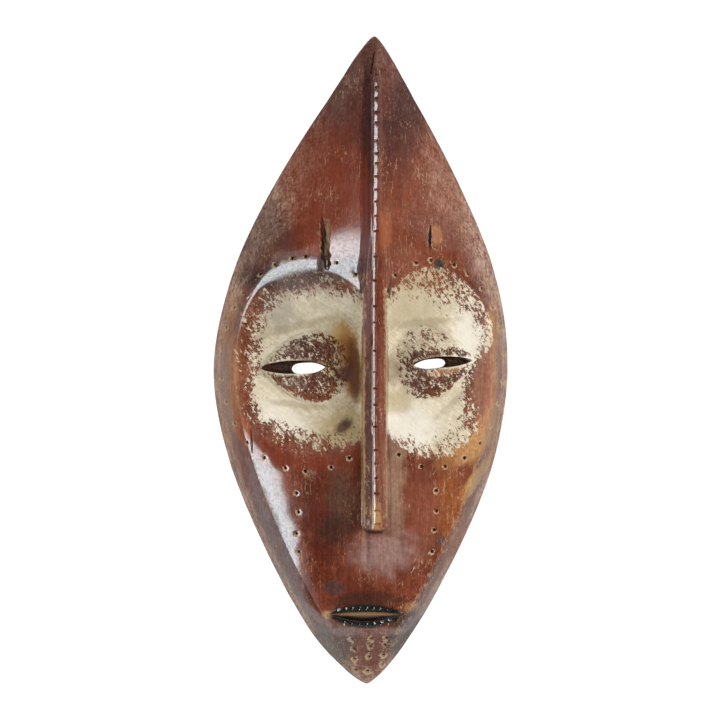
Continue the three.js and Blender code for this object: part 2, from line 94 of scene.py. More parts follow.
eyes = {
    "left": {"side": -1, "x": -28.9, "y": -3.7, "half": 25.8, "high": 21.5, "rise": 9.0, "tilt": 1.4,
             "slitX": -36.5, "slitHalf": 18.6, "slitHigh": 3.7, "slitDeep": 7.0,
             "holeX": -28.1, "holeY": -4.4, "holeHalf": 9.2, "holeHigh": 3.0},
    "right": {"side": 1, "x": 40.1, "y": -1.4, "half": 22.8, "high": 22.0, "rise": 9.5, "tilt": 3.0,
              "slitX": 45.0, "slitHalf": 16.6, "slitHigh": 3.1, "slitDeep": 6.0,
              "holeX": 37.9, "holeY": -2.2, "holeHalf": 8.7, "holeHigh": 2.6},
}
lids = {
    "gentle": (0.6, 1.5), "gentleX": (-8, 14), "blunt": 0.75, "slitEnds": 2.0, "slitPower": 3,
    "longer": 1.06, "rollHigh": 0.75, "rollOut": 1.3, "rollWide": 0.95,
}
eyeHole = {
    "sides": 28, "outerEnd": (5.0, 0.6), "innerEnd": (1.9, 0.85), "tilt": 2.0,
    "lowZ": 20.0, "highZ": 72.0,
}
mouth = {
    "x": 3.1, "y": -138.7, "half": 20.3, "up": 1.6, "down": 4.0, "deep": 5.5, "lip": 3.8, "lipRise": 1.3,
    "lowerLip": 0.85, "lipAtEnds": 0.4, "lipFade": (0.85, 1.15), "beadSag": 0.45,
    "shallowTop": 0.35, "cutEdge": 0.8,
}
# cuts and damage: from where to where, half the width, the depth, and where along it is widest
marks = {
    "foreheadGouge": {"from": (-21.0, 79.0), "to": (-17.6, 48.8), "wide": 2.5, "deep": 2.9, "widestAt": 0.72},
    "foreheadSlit": {"from": (38.6, 74.0), "to": (37.9, 61.0), "wide": 0.9, "deep": 1.6, "widestAt": 0.5},
    "foreheadDent": {"from": (42.8, 54.5), "to": (43.4, 50.5), "wide": 2.0, "deep": 0.9, "widestAt": 0.5},
    "sideCrack": {"from": (-59.4, -36.5), "to": (-58.6, -51.0), "wide": 0.65, "deep": 0.8, "widestAt": 0.6},
    "cheekChip": {"from": (-28.6, -59.0), "to": (-25.6, -64.5), "wide": 1.8, "deep": 0.6, "widestAt": 0.35},
    "tipSplit": {"from": (7.9, 171.0), "to": (6.0, 157.0), "wide": 0.75, "deep": 1.6, "widestAt": 0.4},
    "browNick": {"from": (-62.0, 33.0), "to": (-59.4, 36.5), "wide": 0.7, "deep": 0.5, "widestAt": 0.5},
    "jawNick": {"from": (26.5, -116.5), "to": (29.5, -112.0), "wide": 0.9, "deep": 0.5, "widestAt": 0.5},
}
markForm = {"before": 1.6, "after": 2.2, "ragged": 0.16, "ripple": 1.3}
meshing = {
    "along": 150, "chord": 0.035, "finest": 0.3, "backAcross": 40, "backAlong": 80, "backChord": 0.12,
    "backFinest": 2.5, "rounds": 7,
    "noseEndRows": (2.4, 1.6, 1.0, 0.5, 0.1, -0.3, -0.8, -1.6),
    "noseLines": (4.0, 0.9, 0.5),        # beside the nose's edge: at its foot, outside it and on its top
    "chinFrom": (98, 130), "pastRib": 0.6, "narrowest": 0.6,
}
dots = {
    "radius": 1.1, "narrow": 0.6, "deep": 2.4, "sunk": 0.72, "sides": 14, "jitter": 0.14, "seed": 3,
    "ringOut": 5.0, "fromRidge": 7.0, "brim": 0.3, "brimFromTo": (0.8, 1.8), "near": 2.6,
    # lengths in radii: what is left in each dot, on which side of it, and the pale wear round it
    "leftFrom": (0.0, 0.7), "leftTo": (1.1, 1.7), "leftWithin": 2.0,
    "lowSide": 225, "lowSway": 35, "swayStep": 2.4,
    "pale": (2.1, 0.55), "paleOnChin": (3.1, 0.62),      # how far it reaches and how full it is
    "paleFrom": 1.2, "bareWithin": 0.9, "paleSway": 0.25, "paleStep": 1.7, "paleLow": 0.5,
    # round each socket: degrees from the side of the nose, up over the brow and back under the eye
    "leftRing": (37, 56, 70, 91, 100, 112, 123, 138, 148, 160, 172, 188, 201, 214, 227, 241, 256, 269,
                 286, 299),
    "rightRing": (44, 58, 76, 88, 107, 119, 133, 147, 160, 174, 190, 203, 217, 230, 245, 261, 280, 299),
    "cheekLeft": ((-34.5, -72.3), (-33.4, -82.6), (-34.5, -94.3), (-33.4, -104.3)),
    "cheekRight": ((41.3, -70.9), (41.5, -82.1), (40.3, -92.4), (39.2, -104.3)),
    "chin": ((-4.3, -152.6), (-3.3, -158.6), (-3.0, -164.7), (-2.1, -171.4), (6.3, -152.6), (5.6, -157.2),
             (5.0, -163.3), (4.1, -172.0), (14.5, -151.9), (13.6, -156.1), (13.0, -162.4), (12.4, -168.2)),
}
notches = {
    "ridge": (157.2, 150.0, 143.8, 136.0, 129.9, 119.9, 112.7, 107.1, 99.9, 92.6, 86.0, 78.2, 69.8, 56.0,
              43.0, 29.0, 20.3, 5.0, -6.4, -15.3, -24.2, -36.0, -48.6, -55.9, -63.7, -72.0, -81.5, -88.8),
    "wide": 1.5, "deep": 1.1, "above": 0.2, "past": 0.5,
    "narrow": 1.0, "sunk": 0.5, "sides": 8, "jitter": 0.1, "seed": 5,
    "lipWide": 1.1, "lipDeep": 0.9, "lipAbove": 0.25, "lipOut": 0.55, "lipLong": 0.62,
    # on the lips: pixel columns of a picture 720 wide, and what one pixel is there
    "middlePixel": 360, "pixel": 0.5564,
    "upperLip": (337, 345, 352, 359, 366, 372.5, 379, 385.5, 392),
    "lowerLip": (344, 351, 358.5, 366, 373, 380, 387.5, 395),
}
tiny = 1e-6


def smooth(v, a, b):
    t = np.clip((v - a) / (b - a), 0, 1)
    return t * t * (3 - 2 * t)


def mix(a, b, t):
    return a + (b - a) * t


def softMin(a, b, r):
    near = np.maximum(r - np.abs(a - b), 0) / r
    return np.minimum(a, b) - near * near * r / 4


def softMax(a, b, r):
    return -softMin(-a, -b, r)


def hump(v, middle, wide):               # 1 at the middle, fading to both sides
    return np.exp(-((v - middle) / wide) ** 2)


def roomAt(t, least=1e-3):               # 1 in the middle of an opening, falling to its two ends
    return np.maximum(least, 1 - t * t)


def leaf(y, top, chin):
    widest = mask["widestY"]
    up = y > widest
    v = np.minimum(1, np.abs(y - widest) / np.where(up, top - widest, widest - chin))
    w = np.maximum(0, 1 - np.sqrt((1 - v) * (1 - v + mask["tipRound"])))
    head = np.maximum(0, 1 - w ** mask["headLeaf"][0]) ** mask["headLeaf"][1]
    jaw = np.maximum(0, 1 - v ** mask["chinLeaf"][0]) ** mask["chinLeaf"][1]
    return np.where(up, head, jaw)


def axisX(y):
    by, start, end = mask["chinLean"]
    return mask["ridgeX"] - by * smooth(-y, start, end)


def fullness(y, right):
    sides = [np.interp(y, mask["fullAtY"], mask[k]) for k in ("fullLeft", "fullRight")]
    return np.where(right, sides[1], sides[0])


def outerHalf(y):
    return mask["halfWidth"] * leaf(y, mask["topY"], mask["chinY"])


def innerHalf(y):
    return (mask["halfWidth"] - hollowBack["rim"]) * leaf(y, hollowBack["topY"], hollowBack["chinY"])


def outwards(x, y):                      # distance out from the ridge, on a mask with both sides alike
    dx = x - axisX(y)
    return np.abs(dx) / fullness(y, dx > 0)


def inFrom(half, u, y):
    slope = (half(y + 1) - half(y - 1)) / 2
    return (half(y) - u) / np.hypot(1, slope)


def middleRise(y):
    power, blunt = mask["headArch"]
    head = mask["faceRise"] * np.maximum(0, 1 - np.clip(y / mask["topY"], 0, 1) ** power) ** blunt
    return np.where(y > 0, head, mask["faceRise"] - mask["cheekDrop"] * (y / mask["crestY"]) ** 2)


def meetWall(height, wall, roundness):   # a surface that ends in a wall, with a round shoulder between them
    return np.maximum(0, softMin(height, wall, np.clip(wall + tiny, tiny, roundness)))


def plainFace(x, y):
    u = outwards(x, y)
    half = np.maximum(outerHalf(y), tiny)
    share = np.minimum(1, u / half)
    forms = (mask["faceForm"], mask["browForm"], mask["crownForm"])
    cheek, brow, crown = [slope * half / power * share ** power for power, slope in forms]
    onHead = smooth(y, *mask["browFrom"])
    dome = middleRise(y) - mix(mix(cheek, brow, onHead), crown, smooth(y, *mask["crownFrom"]))
    jaw = mask["crestZ"] + mask["chinSlope"] * (y - mask["crestY"])
    wall = mix(*mask["sideSlope"], onHead) * inFrom(outerHalf, u, y)
    return meetWall(softMin(dome, jaw, mask["crestRound"]), wall, mask["shoulderRound"])


def socketReach(x, y, k):
    return np.hypot((x - k["x"]) / k["halfX"], (y - k["y"]) / k["halfY"])


def socketDepth(x, y, k):
    crisp = mix(*socketForm["crisp"], smooth(y - k["y"], *socketForm["crispY"]))
    deeper = 1 + socketForm["deeperByNose"] * smooth(-(x - k["x"]) * k["side"], *socketForm["deeperX"])
    return k["depth"] * deeper * (1 - socketReach(x, y, k) ** crisp)


# The outline of an eye, pointed at its outer end: how far along, and how high it is there
almond = {"steps": 181, "high": 0.92, "blunt": 0.85}
almondT = np.cos(np.linspace(0, math.pi, almond["steps"]))
almondH = almond["high"] * np.sqrt(1 + almondT) * np.maximum(0, 1 - almondT) ** almond["blunt"]
almondAngle = np.arctan2(almondH, almondT)
almondRadius = np.hypot(almondH, almondT)


def eyeCoordinates(x, y, k):             # along the eye, outwards from its middle, and across it
    a, c = math.radians(k["tilt"]), k["side"]
    dx, dy = x - k["x"], y - k["y"]
    return c * (dx * math.cos(a) + dy * math.sin(a)), -dx * math.sin(a) + dy * math.cos(a)


def eyeReach(x, y, k):                   # 0 at the middle of the eye and 1 at its edge
    along, across = eyeCoordinates(x, y, k)
    p, q = along / k["half"], np.abs(across) / k["high"]
    return np.hypot(p, q) / np.interp(np.arctan2(q, p), almondAngle, almondRadius)


def slitPlace(x, y, k, longer=1.0):      # share along the slit, distance from its line, half its width there
    along, across = eyeCoordinates(x, y, k)
    t = (along - (k["slitX"] - k["x"]) * k["side"]) / (k["slitHalf"] * longer)
    return t, np.abs(across), k["slitHigh"] * roomAt(t) ** lids["blunt"]


def slitDepth(x, y, k):
    t, off, half = slitPlace(x, y, k)
    deep = k["slitDeep"] * np.minimum(1, lids["slitEnds"] * roomAt(t, 0))
    across = np.sqrt(np.maximum(0, 1 - (off / half) ** lids["slitPower"]))
    return np.where(np.abs(t) < 1, deep * across, 0)


def lidRise(x, y, k):                    # the rolled edges of the two lids
    t, off, half = slitPlace(x, y, k, lids["longer"])
    roll = lids["rollHigh"] * hump(off - half, lids["rollOut"], lids["rollWide"])
    return np.where(np.abs(t) < 1, roll * np.sqrt(roomAt(t, 0)), 0)


def noseX(y):
    by, start, end = nose["lean"]
    return mask["ridgeX"] + by * smooth(-y, start, end)


def noseHalf(y):
    return np.interp(y, nose["atY"], nose["half"])


def ribX(y):
    return mask["ridgeX"] + np.interp(y, nose["ribAtY"], nose["ribRight"])


def ribHalf(y):
    return np.interp(y, nose["ribAtY"], nose["ribHalf"])


def ridgeRise(y):
    head = mix(nose["onEyes"], nose["onHead"], smooth(y, *nose["onHeadY"]))
    off = np.where(y > 0, head, mix(nose["onEyes"], nose["onEnd"], np.clip(y / nose["endY"], 0, 1)))
    return middleRise(y) + off * (1 - smooth(y, *nose["fadeY"]))


def noseSurface(x, y):
    dx = np.abs(x - noseX(y))
    half = noseHalf(y)
    top = ridgeRise(y)
    fall = mix(*nose["flankFall"], smooth(y, *nose["flankY"]))
    slope = mix(*nose["wallSlope"], smooth(y, *nose["wallY"]))
    past = np.maximum(0, dx - half)
    wall = top - fall * half + slope * (half - dx) - nose["wallFlare"] * past * past
    corner = nose["cornerBack"] * np.minimum(nose["cornerTo"], dx / half) ** nose["cornerPower"]
    end = top - nose["endSink"] + nose["endSlope"] * (y - nose["endY"] - corner)
    roof = top - fall * dx
    for moundX, moundY in nose["mounds"]:
        off = (x - moundX) ** 2 + (y - moundY) ** 2
        roof = roof + nose["moundRise"] * np.exp(-off / nose["moundSpread"])
    return softMin(softMin(roof, wall, nose["edgeRound"]), end, nose["endRound"])


def beads(at, cuts, sag):                # 1 in the middle of each bead, lower towards the cuts between them
    cuts = np.array(sorted(cuts))
    i = np.clip(np.searchsorted(cuts, at), 1, len(cuts) - 1)
    off = 2 * np.clip((at - cuts[i - 1]) / (cuts[i] - cuts[i - 1]), 0, 1) - 1
    return 1 - sag * off ** 2


def rib(x, y):
    dx = np.abs(x - ribX(y)) / ribHalf(y)
    ends = smooth(y - nose["endY"], *nose["ribStart"]) * (1 - smooth(y, *nose["ribEndY"]))
    roof = mix(*nose["ribRoof"], smooth(y, *nose["ribRoofY"]))
    crown = 1 - roof * np.minimum(dx, 1) - (1 - roof) * smooth(dx, nose["ribEdge"], 1.0)
    bead = beads(y, notches["ridge"], np.where(y > nose["bigBeadsFromY"], *nose["beadSag"]))
    beside, deep, wide = nose["flute"]
    flute = deep * smooth(y, *nose["fluteY"]) * hump(x - ribX(y), -beside, wide)
    return (np.interp(y, nose["ribAtY"], nose["ribRise"]) * crown * bead - flute) * ends


def mouthPlace(x, y):                    # share along the mouth, height above its line, and how far out of it
    t, across = (x - mouth["x"]) / mouth["half"], y - mouth["y"]
    return t, across, np.abs(across) - np.where(across > 0, mouth["up"], mouth["down"]) * roomAt(t)


def lipWidth(t, across):
    ends = mouth["lipAtEnds"]
    return mouth["lip"] * np.where(across > 0, 1.0, mouth["lowerLip"]) * (ends + (1 - ends) * roomAt(t, 0))


def lipCuts(lip):                        # x of a lip's notches
    return [(px - notches["middlePixel"]) * notches["pixel"] for px in notches[lip]]


def mouthCut(x, y):
    t, across, gap = mouthPlace(x, y)
    room = roomAt(t)
    gap = np.where(np.abs(t) < 1, gap, np.hypot(np.abs(x - mouth["x"]) - mouth["half"], across))
    lower = np.clip((mouth["up"] * room - across) / ((mouth["up"] + mouth["down"]) * room), 0, 1)
    edge = smooth(-gap, 0, mouth["cutEdge"])
    cut = mouth["deep"] * mix(mouth["shallowTop"], 1.0, lower) * edge * np.sqrt(room)
    upper, under = [beads(x, lipCuts(lip), mouth["beadSag"]) for lip in ("upperLip", "lowerLip")]
    halfLip = lipWidth(t, across) / 2
    lip = mouth["lipRise"] * np.where(across > 0, upper, under)
    lip = lip * (1 - smooth(np.abs(gap - halfLip), 0, halfLip))
    return lip * (1 - smooth(np.abs(t), *mouth["lipFade"])) - np.where(np.abs(t) < 1, cut, 0)


waveRandom = np.random.default_rng(mask["waveSeed"])
waves = []
for _ in range(mask["waves"]):
    heading, size = waveRandom.uniform(0, 2 * math.pi), waveRandom.uniform(*mask["waveSize"])
    waves.append((heading, size, waveRandom.uniform(0, 2 * math.pi)))


def waver(x, y):                         # the slight unevenness of a surface cut with a knife
    total = sum(np.sin((x * math.cos(a) + y * math.sin(a)) * 2 * math.pi / size + phase)
                for a, size, phase in waves)
    return mask["waver"] * total / math.sqrt(len(waves))


def markDepth(x, y, k):                  # a cut that tapers to both ends
    (x0, y0), (x1, y1) = k["from"], k["to"]
    long = math.hypot(x1 - x0, y1 - y0)
    t = np.clip(((x - x0) * (x1 - x0) + (y - y0) * (y1 - y0)) / long ** 2, 0, 1)
    off = np.hypot(x - mix(x0, x1, t), y - mix(y0, y1, t))
    peak = k["widestAt"]
    before, after = np.maximum(0, peak - t) / peak, np.maximum(0, t - peak) / (1 - peak)
    taper = np.sqrt(np.maximum(0, 1 - before ** markForm["before"] - after ** markForm["after"]))
    wide = np.maximum(1e-3, k["wide"] * taper)
    ragged = 1 + markForm["ragged"] * np.sin(y * markForm["ripple"] + x)
    return k["deep"] * taper * np.maximum(0, 1 - (off / (wide * ragged)) ** 2)


def dotSpots():                          # where the drilled dots are
    spots = []
    for side, k in sockets.items():
        clear = mask["ridgeX"] + k["side"] * dots["fromRidge"]
        for a in map(math.radians, dots[side + "Ring"]):
            x = k["x"] - k["side"] * (k["halfX"] + dots["ringOut"]) * math.cos(a)
            y = k["y"] + (k["halfY"] + dots["ringOut"]) * math.sin(a)
            spots.append((min(x, clear) if k["side"] < 0 else max(x, clear), y))
    return spots + list(dots["cheekLeft"] + dots["cheekRight"] + dots["chin"])


def dotBrims(x, y):                      # how far the wood is worn down round each dot
    flatX, flatY = x.ravel(), y.ravel()
    worn = np.zeros(len(flatX))
    low, high = [share * dots["radius"] for share in dots["brimFromTo"]]
    for dotX, dotY in dotSpots():
        near = np.flatnonzero((np.abs(flatX - dotX) < dots["near"]) & (np.abs(flatY - dotY) < dots["near"]))
        worn[near] += dots["brim"] * (1 - smooth(np.hypot(flatX[near] - dotX, flatY[near] - dotY), low, high))
    return worn.reshape(x.shape)


def frontHeight(x, y):
    face = plainFace(x, y)
    plain = face
    for k in sockets.values():
        roll = mix(*socketForm["roll"], smooth(y - k["y"], *socketForm["rollY"]))
        face = face - softMax(np.zeros_like(x), np.maximum(socketDepth(x, y, k), socketForm["least"]), roll)
    for k in eyes.values():
        reach = eyeReach(x, y, k)
        gentle = mix(*lids["gentle"], smooth(-eyeCoordinates(x, y, k)[0], *lids["gentleX"]))
        face = face + k["rise"] * np.maximum(0, 1 - reach * reach) ** gentle
        face = face + lidRise(x, y, k) - slitDepth(x, y, k)
    face = softMax(face, noseSurface(x, y), nose["intoFace"]) + rib(x, y) + mouthCut(x, y)
    face = face + waver(x, y) * smooth(plain, *mask["waverFrom"])
    for k in marks.values():
        face = face - markDepth(x, y, k)
    return np.minimum(face - dotBrims(x, y), mask["edgeSlope"] * inFrom(outerHalf, outwards(x, y), y))


def backHeight(x, y):
    ceiling = plainFace(x, y) - hollowBack["wall"]
    for k in sockets.values():
        ceiling = ceiling - hollowBack["socketShare"] * np.maximum(0, socketDepth(x, y, k))
    wall = hollowBack["wallSlope"] * inFrom(innerHalf, outwards(x, y), y)
    return meetWall(np.maximum(0, ceiling), wall, hollowBack["wallRound"])


# Columns of the front's mesh: how many between one line and the next, from the left outline to the right one
columnCounts = (30, 3, 5, 4, 5, 5, 4, 5, 3, 28)
columnEnds = np.concatenate([[0], np.cumsum(columnCounts)])
columnShares = columnEnds / sum(columnCounts) * 2 - 1


# x of those lines: the outline, the foot and edge of the nose, and the edge and middle of the rib
def columnLines(y):
    left = axisX(y) - outerHalf(y) * fullness(y, False)
    right = axisX(y) + outerHalf(y) * fullness(y, True)
    onChin = smooth(-y, *meshing["chinFrom"])
    middle = mix(noseX(y), axisX(y), onChin)
    aside = (ribX(y) - mask["ridgeX"]) * (1 - onChin)
    edge = np.maximum(noseHalf(y), np.abs(aside) + ribHalf(y) + meshing["pastRib"])
    foot, outside, onTop = meshing["noseLines"]
    room = meshing["narrowest"] * np.minimum(right - middle, middle - left)
    shrink = np.minimum(1, room / (edge + foot))
    offsets = (-edge - foot, -edge - outside, -edge + onTop, aside - ribHalf(y), aside, aside + ribHalf(y),
               edge - onTop, edge + outside, edge + foot)
    return np.stack([left] + [middle + shrink * off for off in offsets] + [right], 1)


# A sheet is laid out in shares s across and t along, from -1 to 1, and lifted onto the carving
def surfacePoint(st, inner):
    s, t = st[:, 0], st[:, 1]
    ends = hollowBack if inner else mask
    room = np.where(t > 0, ends["topY"] - mask["widestY"], mask["widestY"] - ends["chinY"])
    y = mask["widestY"] + np.sin(t * math.pi / 2) * room
    edge = (np.abs(s) == 1) | (np.abs(t) == 1)
    if inner:
        x = axisX(y) + innerHalf(y) * fullness(y, s > 0) * np.sin(s * math.pi / 2)
        return np.stack([x, y, np.where(edge, 0, backHeight(x, y))], 1)
    lines = columnLines(y)
    last = len(columnCounts) - 1
    part = np.clip(np.searchsorted(columnShares, s, side="right") - 1, 0, last)
    share = np.clip((s - columnShares[part]) / (columnShares[part + 1] - columnShares[part]), 0, 1)
    share = np.where(part == last, np.sin(share * math.pi / 2), share)
    share = np.where(part == 0, 1 - np.sin((1 - share) * math.pi / 2), share)
    rows = np.arange(len(s))
    x = mix(lines[rows, part], lines[rows, part + 1], share)
    z = np.where(edge, mask["rimEdge"], np.maximum(mask["rimEdge"], frontHeight(x, y)))
    return np.stack([x, y, z], 1)


def rowShares(along, extraAt):           # rows of the mesh, with more where a cross edge needs them
    down = (np.array(extraAt) - mask["widestY"]) / (mask["widestY"] - mask["chinY"])
    return np.unique(np.concatenate([np.linspace(-1, 1, along + 1), np.arcsin(down) * 2 / math.pi]))


def plainSheet(columns, rows):           # triangles on a grid, leaning the same way on both sides
    s, t = np.meshgrid(columns, rows)
    index = np.arange(s.size).reshape(s.shape)
    a, b, c, d = [part.ravel() for part in (index[:-1, :-1], index[:-1, 1:], index[1:, 1:], index[1:, :-1])]
    leaning = ((s[:-1, :-1] + s[1:, 1:] < 0) == (t[:-1, :-1] + t[1:, 1:] < 0)).ravel()
    faces = np.concatenate([
        np.stack([a, b, d], 1)[leaning], np.stack([b, c, d], 1)[leaning],
        np.stack([a, b, c], 1)[~leaning], np.stack([a, c, d], 1)[~leaning]])
    return np.stack([s.ravel(), t.ravel()], 1), faces


def splitFaces(faces, onSides):          # onSides: the new point on each side of each face, or -1
    count = (onSides >= 0).sum(1)
    onlyOne, onlyBare = np.argmax(onSides >= 0, 1), (np.argmax(onSides < 0, 1) + 1) % 3
    turn = np.where(count == 1, onlyOne, np.where(count == 2, onlyBare, 0))
    order = (np.arange(3)[None] + turn[:, None]) % 3
    corners = np.take_along_axis(faces, order, 1)
    p, q, r = corners.T
    pq, qr, rp = np.take_along_axis(onSides, order, 1).T
    parts = {1: ((p, pq, r), (pq, q, r)),
             2: ((pq, q, qr), (p, pq, qr), (p, qr, r)),
             3: ((p, pq, rp), (pq, q, qr), (rp, qr, r), (pq, qr, rp))}
    made = [np.stack(three, 1)[count == sides] for sides, group in parts.items() for three in group]
    return np.concatenate([corners[count == 0]] + made)


def refinedSheet(columns, rows, chord, finest, inner):
    st, faces = plainSheet(columns, rows)
    points = surfacePoint(st, inner)
    for _ in range(meshing["rounds"]):
        edges = np.sort(faces[:, [0, 1, 1, 2, 2, 0]].reshape(-1, 2), axis=1)
        unique, inverse = np.unique(edges, axis=0, return_inverse=True)
        starts, ends = unique.T
        middle = (st[starts] + st[ends]) / 2
        on = surfacePoint(middle, inner)
        off = np.linalg.norm(on - (points[starts] + points[ends]) / 2, axis=1)
        long = np.linalg.norm(points[starts] - points[ends], axis=1)
        split = (off > chord) & (long > finest)
        if not split.any():
            break
        new = np.full(len(unique), -1)
        new[split] = len(st) + np.arange(split.sum())
        st = np.concatenate([st, middle[split]])
        points = np.concatenate([points, on[split]])
        faces = splitFaces(faces, new[inverse.reshape(-1, 3)])
    return st, points, faces


# A sheet's edge, anticlockwise from the chin, and how far round each of its points is
def rimLoop(st):
    s, t = st[:, 0], st[:, 1]
    inside = np.abs(t) < 1
    right, left = np.flatnonzero((s == 1) & inside), np.flatnonzero((s == -1) & inside)
    right, left = right[np.argsort(t[right])], left[np.argsort(-t[left])]
    loop = np.concatenate([np.flatnonzero(t == -1)[:1], right, np.flatnonzero(t == 1)[:1], left])
    return loop, np.concatenate([[0], (t[right] + 1) / 2, [1], 1 + (1 - t[left]) / 2])


def joinLoops(outer, outerAt, inner, innerAt):   # triangles of a ring between two loops, facing down
    faces = []
    i = j = 0
    n, m = len(outer), len(inner)
    while i < n or j < m:
        nextOuter = outerAt[i + 1] if i + 1 < n else 2
        nextInner = innerAt[j + 1] if j + 1 < m else 2
        if j >= m or (i < n and nextOuter <= nextInner):
            faces.append((outer[i], inner[j % m], outer[(i + 1) % n]))
            i += 1
        else:
            faces.append((outer[i % n], inner[j], inner[(j + 1) % m]))
            j += 1
    return np.array(faces)


def maskSurface():
    frontColumns = np.interp(np.arange(sum(columnCounts) + 1), columnEnds, columnShares)
    frontRows = rowShares(meshing["along"], nose["endY"] + np.array(meshing["noseEndRows"]))
    backColumns, backRows = [np.linspace(-1, 1, meshing[k] + 1) for k in ("backAcross", "backAlong")]
    frontST, front, frontFaces = refinedSheet(
        frontColumns, frontRows, meshing["chord"], meshing["finest"], False)
    backST, back, backFaces = refinedSheet(
        backColumns, backRows, meshing["backChord"], meshing["backFinest"], True)
    print("front", len(frontFaces), "back", len(backFaces), "triangles")
    frontLoop, frontAt = rimLoop(frontST)
    backLoop, backAt = rimLoop(backST)
    inset = front[frontLoop].copy()      # the foot of the rim's small outer bevel
    along = np.roll(inset[:, :2], -1, 0) - np.roll(inset[:, :2], 1, 0)
    inward = np.stack([-along[:, 1], along[:, 0]], 1) / np.linalg.norm(along, axis=1)[:, None]
    inset[:, :2] += inward * mask["rimEdge"]
    inset[:, 2] = 0
    points = np.concatenate([front, back, inset])
    insetLoop = len(front) + len(back) + np.arange(len(frontLoop))
    insetNext = np.roll(insetLoop, -1)
    faces = np.concatenate([
        frontFaces, backFaces[:, ::-1] + len(front),
        np.stack([frontLoop, insetLoop, insetNext], 1),
        np.stack([frontLoop, insetNext, np.roll(frontLoop, -1)], 1),
        joinLoops(insetLoop, frontAt, backLoop + len(front), backAt)])
    firsts, same = np.unique(np.round(points, 5), axis=0, return_index=True, return_inverse=True)[1:]
    faces = same.reshape(-1)[faces]
    good = (faces[:, 0] != faces[:, 1]) & (faces[:, 1] != faces[:, 2]) & (faces[:, 2] != faces[:, 0])
    return points[firsts], faces[good]


def putInScene(name, data):
    thing = bpy.data.objects.new(name, data)
    bpy.context.scene.collection.objects.link(thing)
    return thing


def meshOf(name, points, faces):
    mesh = bpy.data.meshes.new(name)
    mesh.from_pydata((points / 1000).tolist(), [], [list(map(int, f)) for f in faces])
    mesh.update()
    return putInScene(name, mesh)


points, faces = maskSurface()
maskPiece = meshOf("carvedMask", points, faces)
print("mask surface", len(points), "points", len(faces), "faces")


# Repeated cuts: each has a place, a rotation and a size, and a cutter is set on it
def heightAt(x, y):
    return float(frontHeight(np.array([x], float), np.array([y], float))[0])


def facingAt(x, y, step=0.6):            # outward direction of the front surface
    leanX = (heightAt(x + step, y) - heightAt(x - step, y)) / (2 * step)
    leanY = (heightAt(x, y + step) - heightAt(x, y - step)) / (2 * step)
    return Vector((-leanX, -leanY, 1)).normalized()


def placesOf(name, rows):                # rows of place, rotation and size, in millimetres
    cloud = bpy.data.meshes.new(name)
    cloud.from_pydata([[v / 1000 for v in row[0]] for row in rows], [], [])
    turns, sizes = [cloud.attributes.new(k, "FLOAT_VECTOR", "POINT").data for k in ("turn", "size")]
    for i, (_, rotation, size) in enumerate(rows):
        turns[i].vector = rotation.to_euler()
        sizes[i].vector = [v / 1000 for v in size]
    return putInScene(name, cloud)


def dotRows():
    size = (dots["radius"], dots["radius"], dots["deep"])
    return [((x, y, heightAt(x, y)), facingAt(x, y).to_track_quat("Z", "Y"), size) for x, y in dotSpots()]


def notchRows():
    rows = []
    up = Vector((0, 0, 1))
    sideways, lengthways = [up.rotation_difference(Vector(to)) for to in ((1, 0, 0), (0, 1, 0))]
    for y in notches["ridge"]:
        x = float(ribX(y))
        size = (notches["deep"], notches["wide"] / 2, float(ribHalf(y)) + notches["past"])
        rows.append(((x, y, heightAt(x, y) + notches["above"]), sideways, size))
    size = (notches["lipWide"] / 2, notches["lipDeep"], mouth["lip"] * notches["lipLong"])
    for lip, edge, sign in (("upperLip", mouth["up"], 1), ("lowerLip", -mouth["down"], -1)):
        for x in lipCuts(lip):
            t = (x - mouth["x"]) / mouth["half"]
            y = mouth["y"] + edge * max(0, 1 - t * t) + sign * mouth["lip"] * notches["lipOut"]
            rows.append(((x, y, heightAt(x, y) + notches["lipAbove"]), lengthways, size))
    return rows


def feed(socket, value):                 # link a socket, or set a plain value
    if isinstance(value, bpy.types.NodeSocket):
        socket.id_data.links.new(value, socket)
    else:
        socket.default_value = value


def addNode(tree, kind, feeds, **settings):      # a node with its settings and what its inputs are fed
    node = tree.nodes.new(kind)
    for key, value in settings.items():
        setattr(node, key, value)
    for key, value in feeds.items():
        feed(node.inputs[key], value)
    return node.outputs


def treeOf(*values):                     # the node tree of the sockets among these values
    return next(value.id_data for value in values if isinstance(value, bpy.types.NodeSocket))


def calc(operation, a, b, clamp=False):
    return addNode(treeOf(a, b), "ShaderNodeMath", {0: a, 1: b}, operation=operation, use_clamp=clamp)[0]


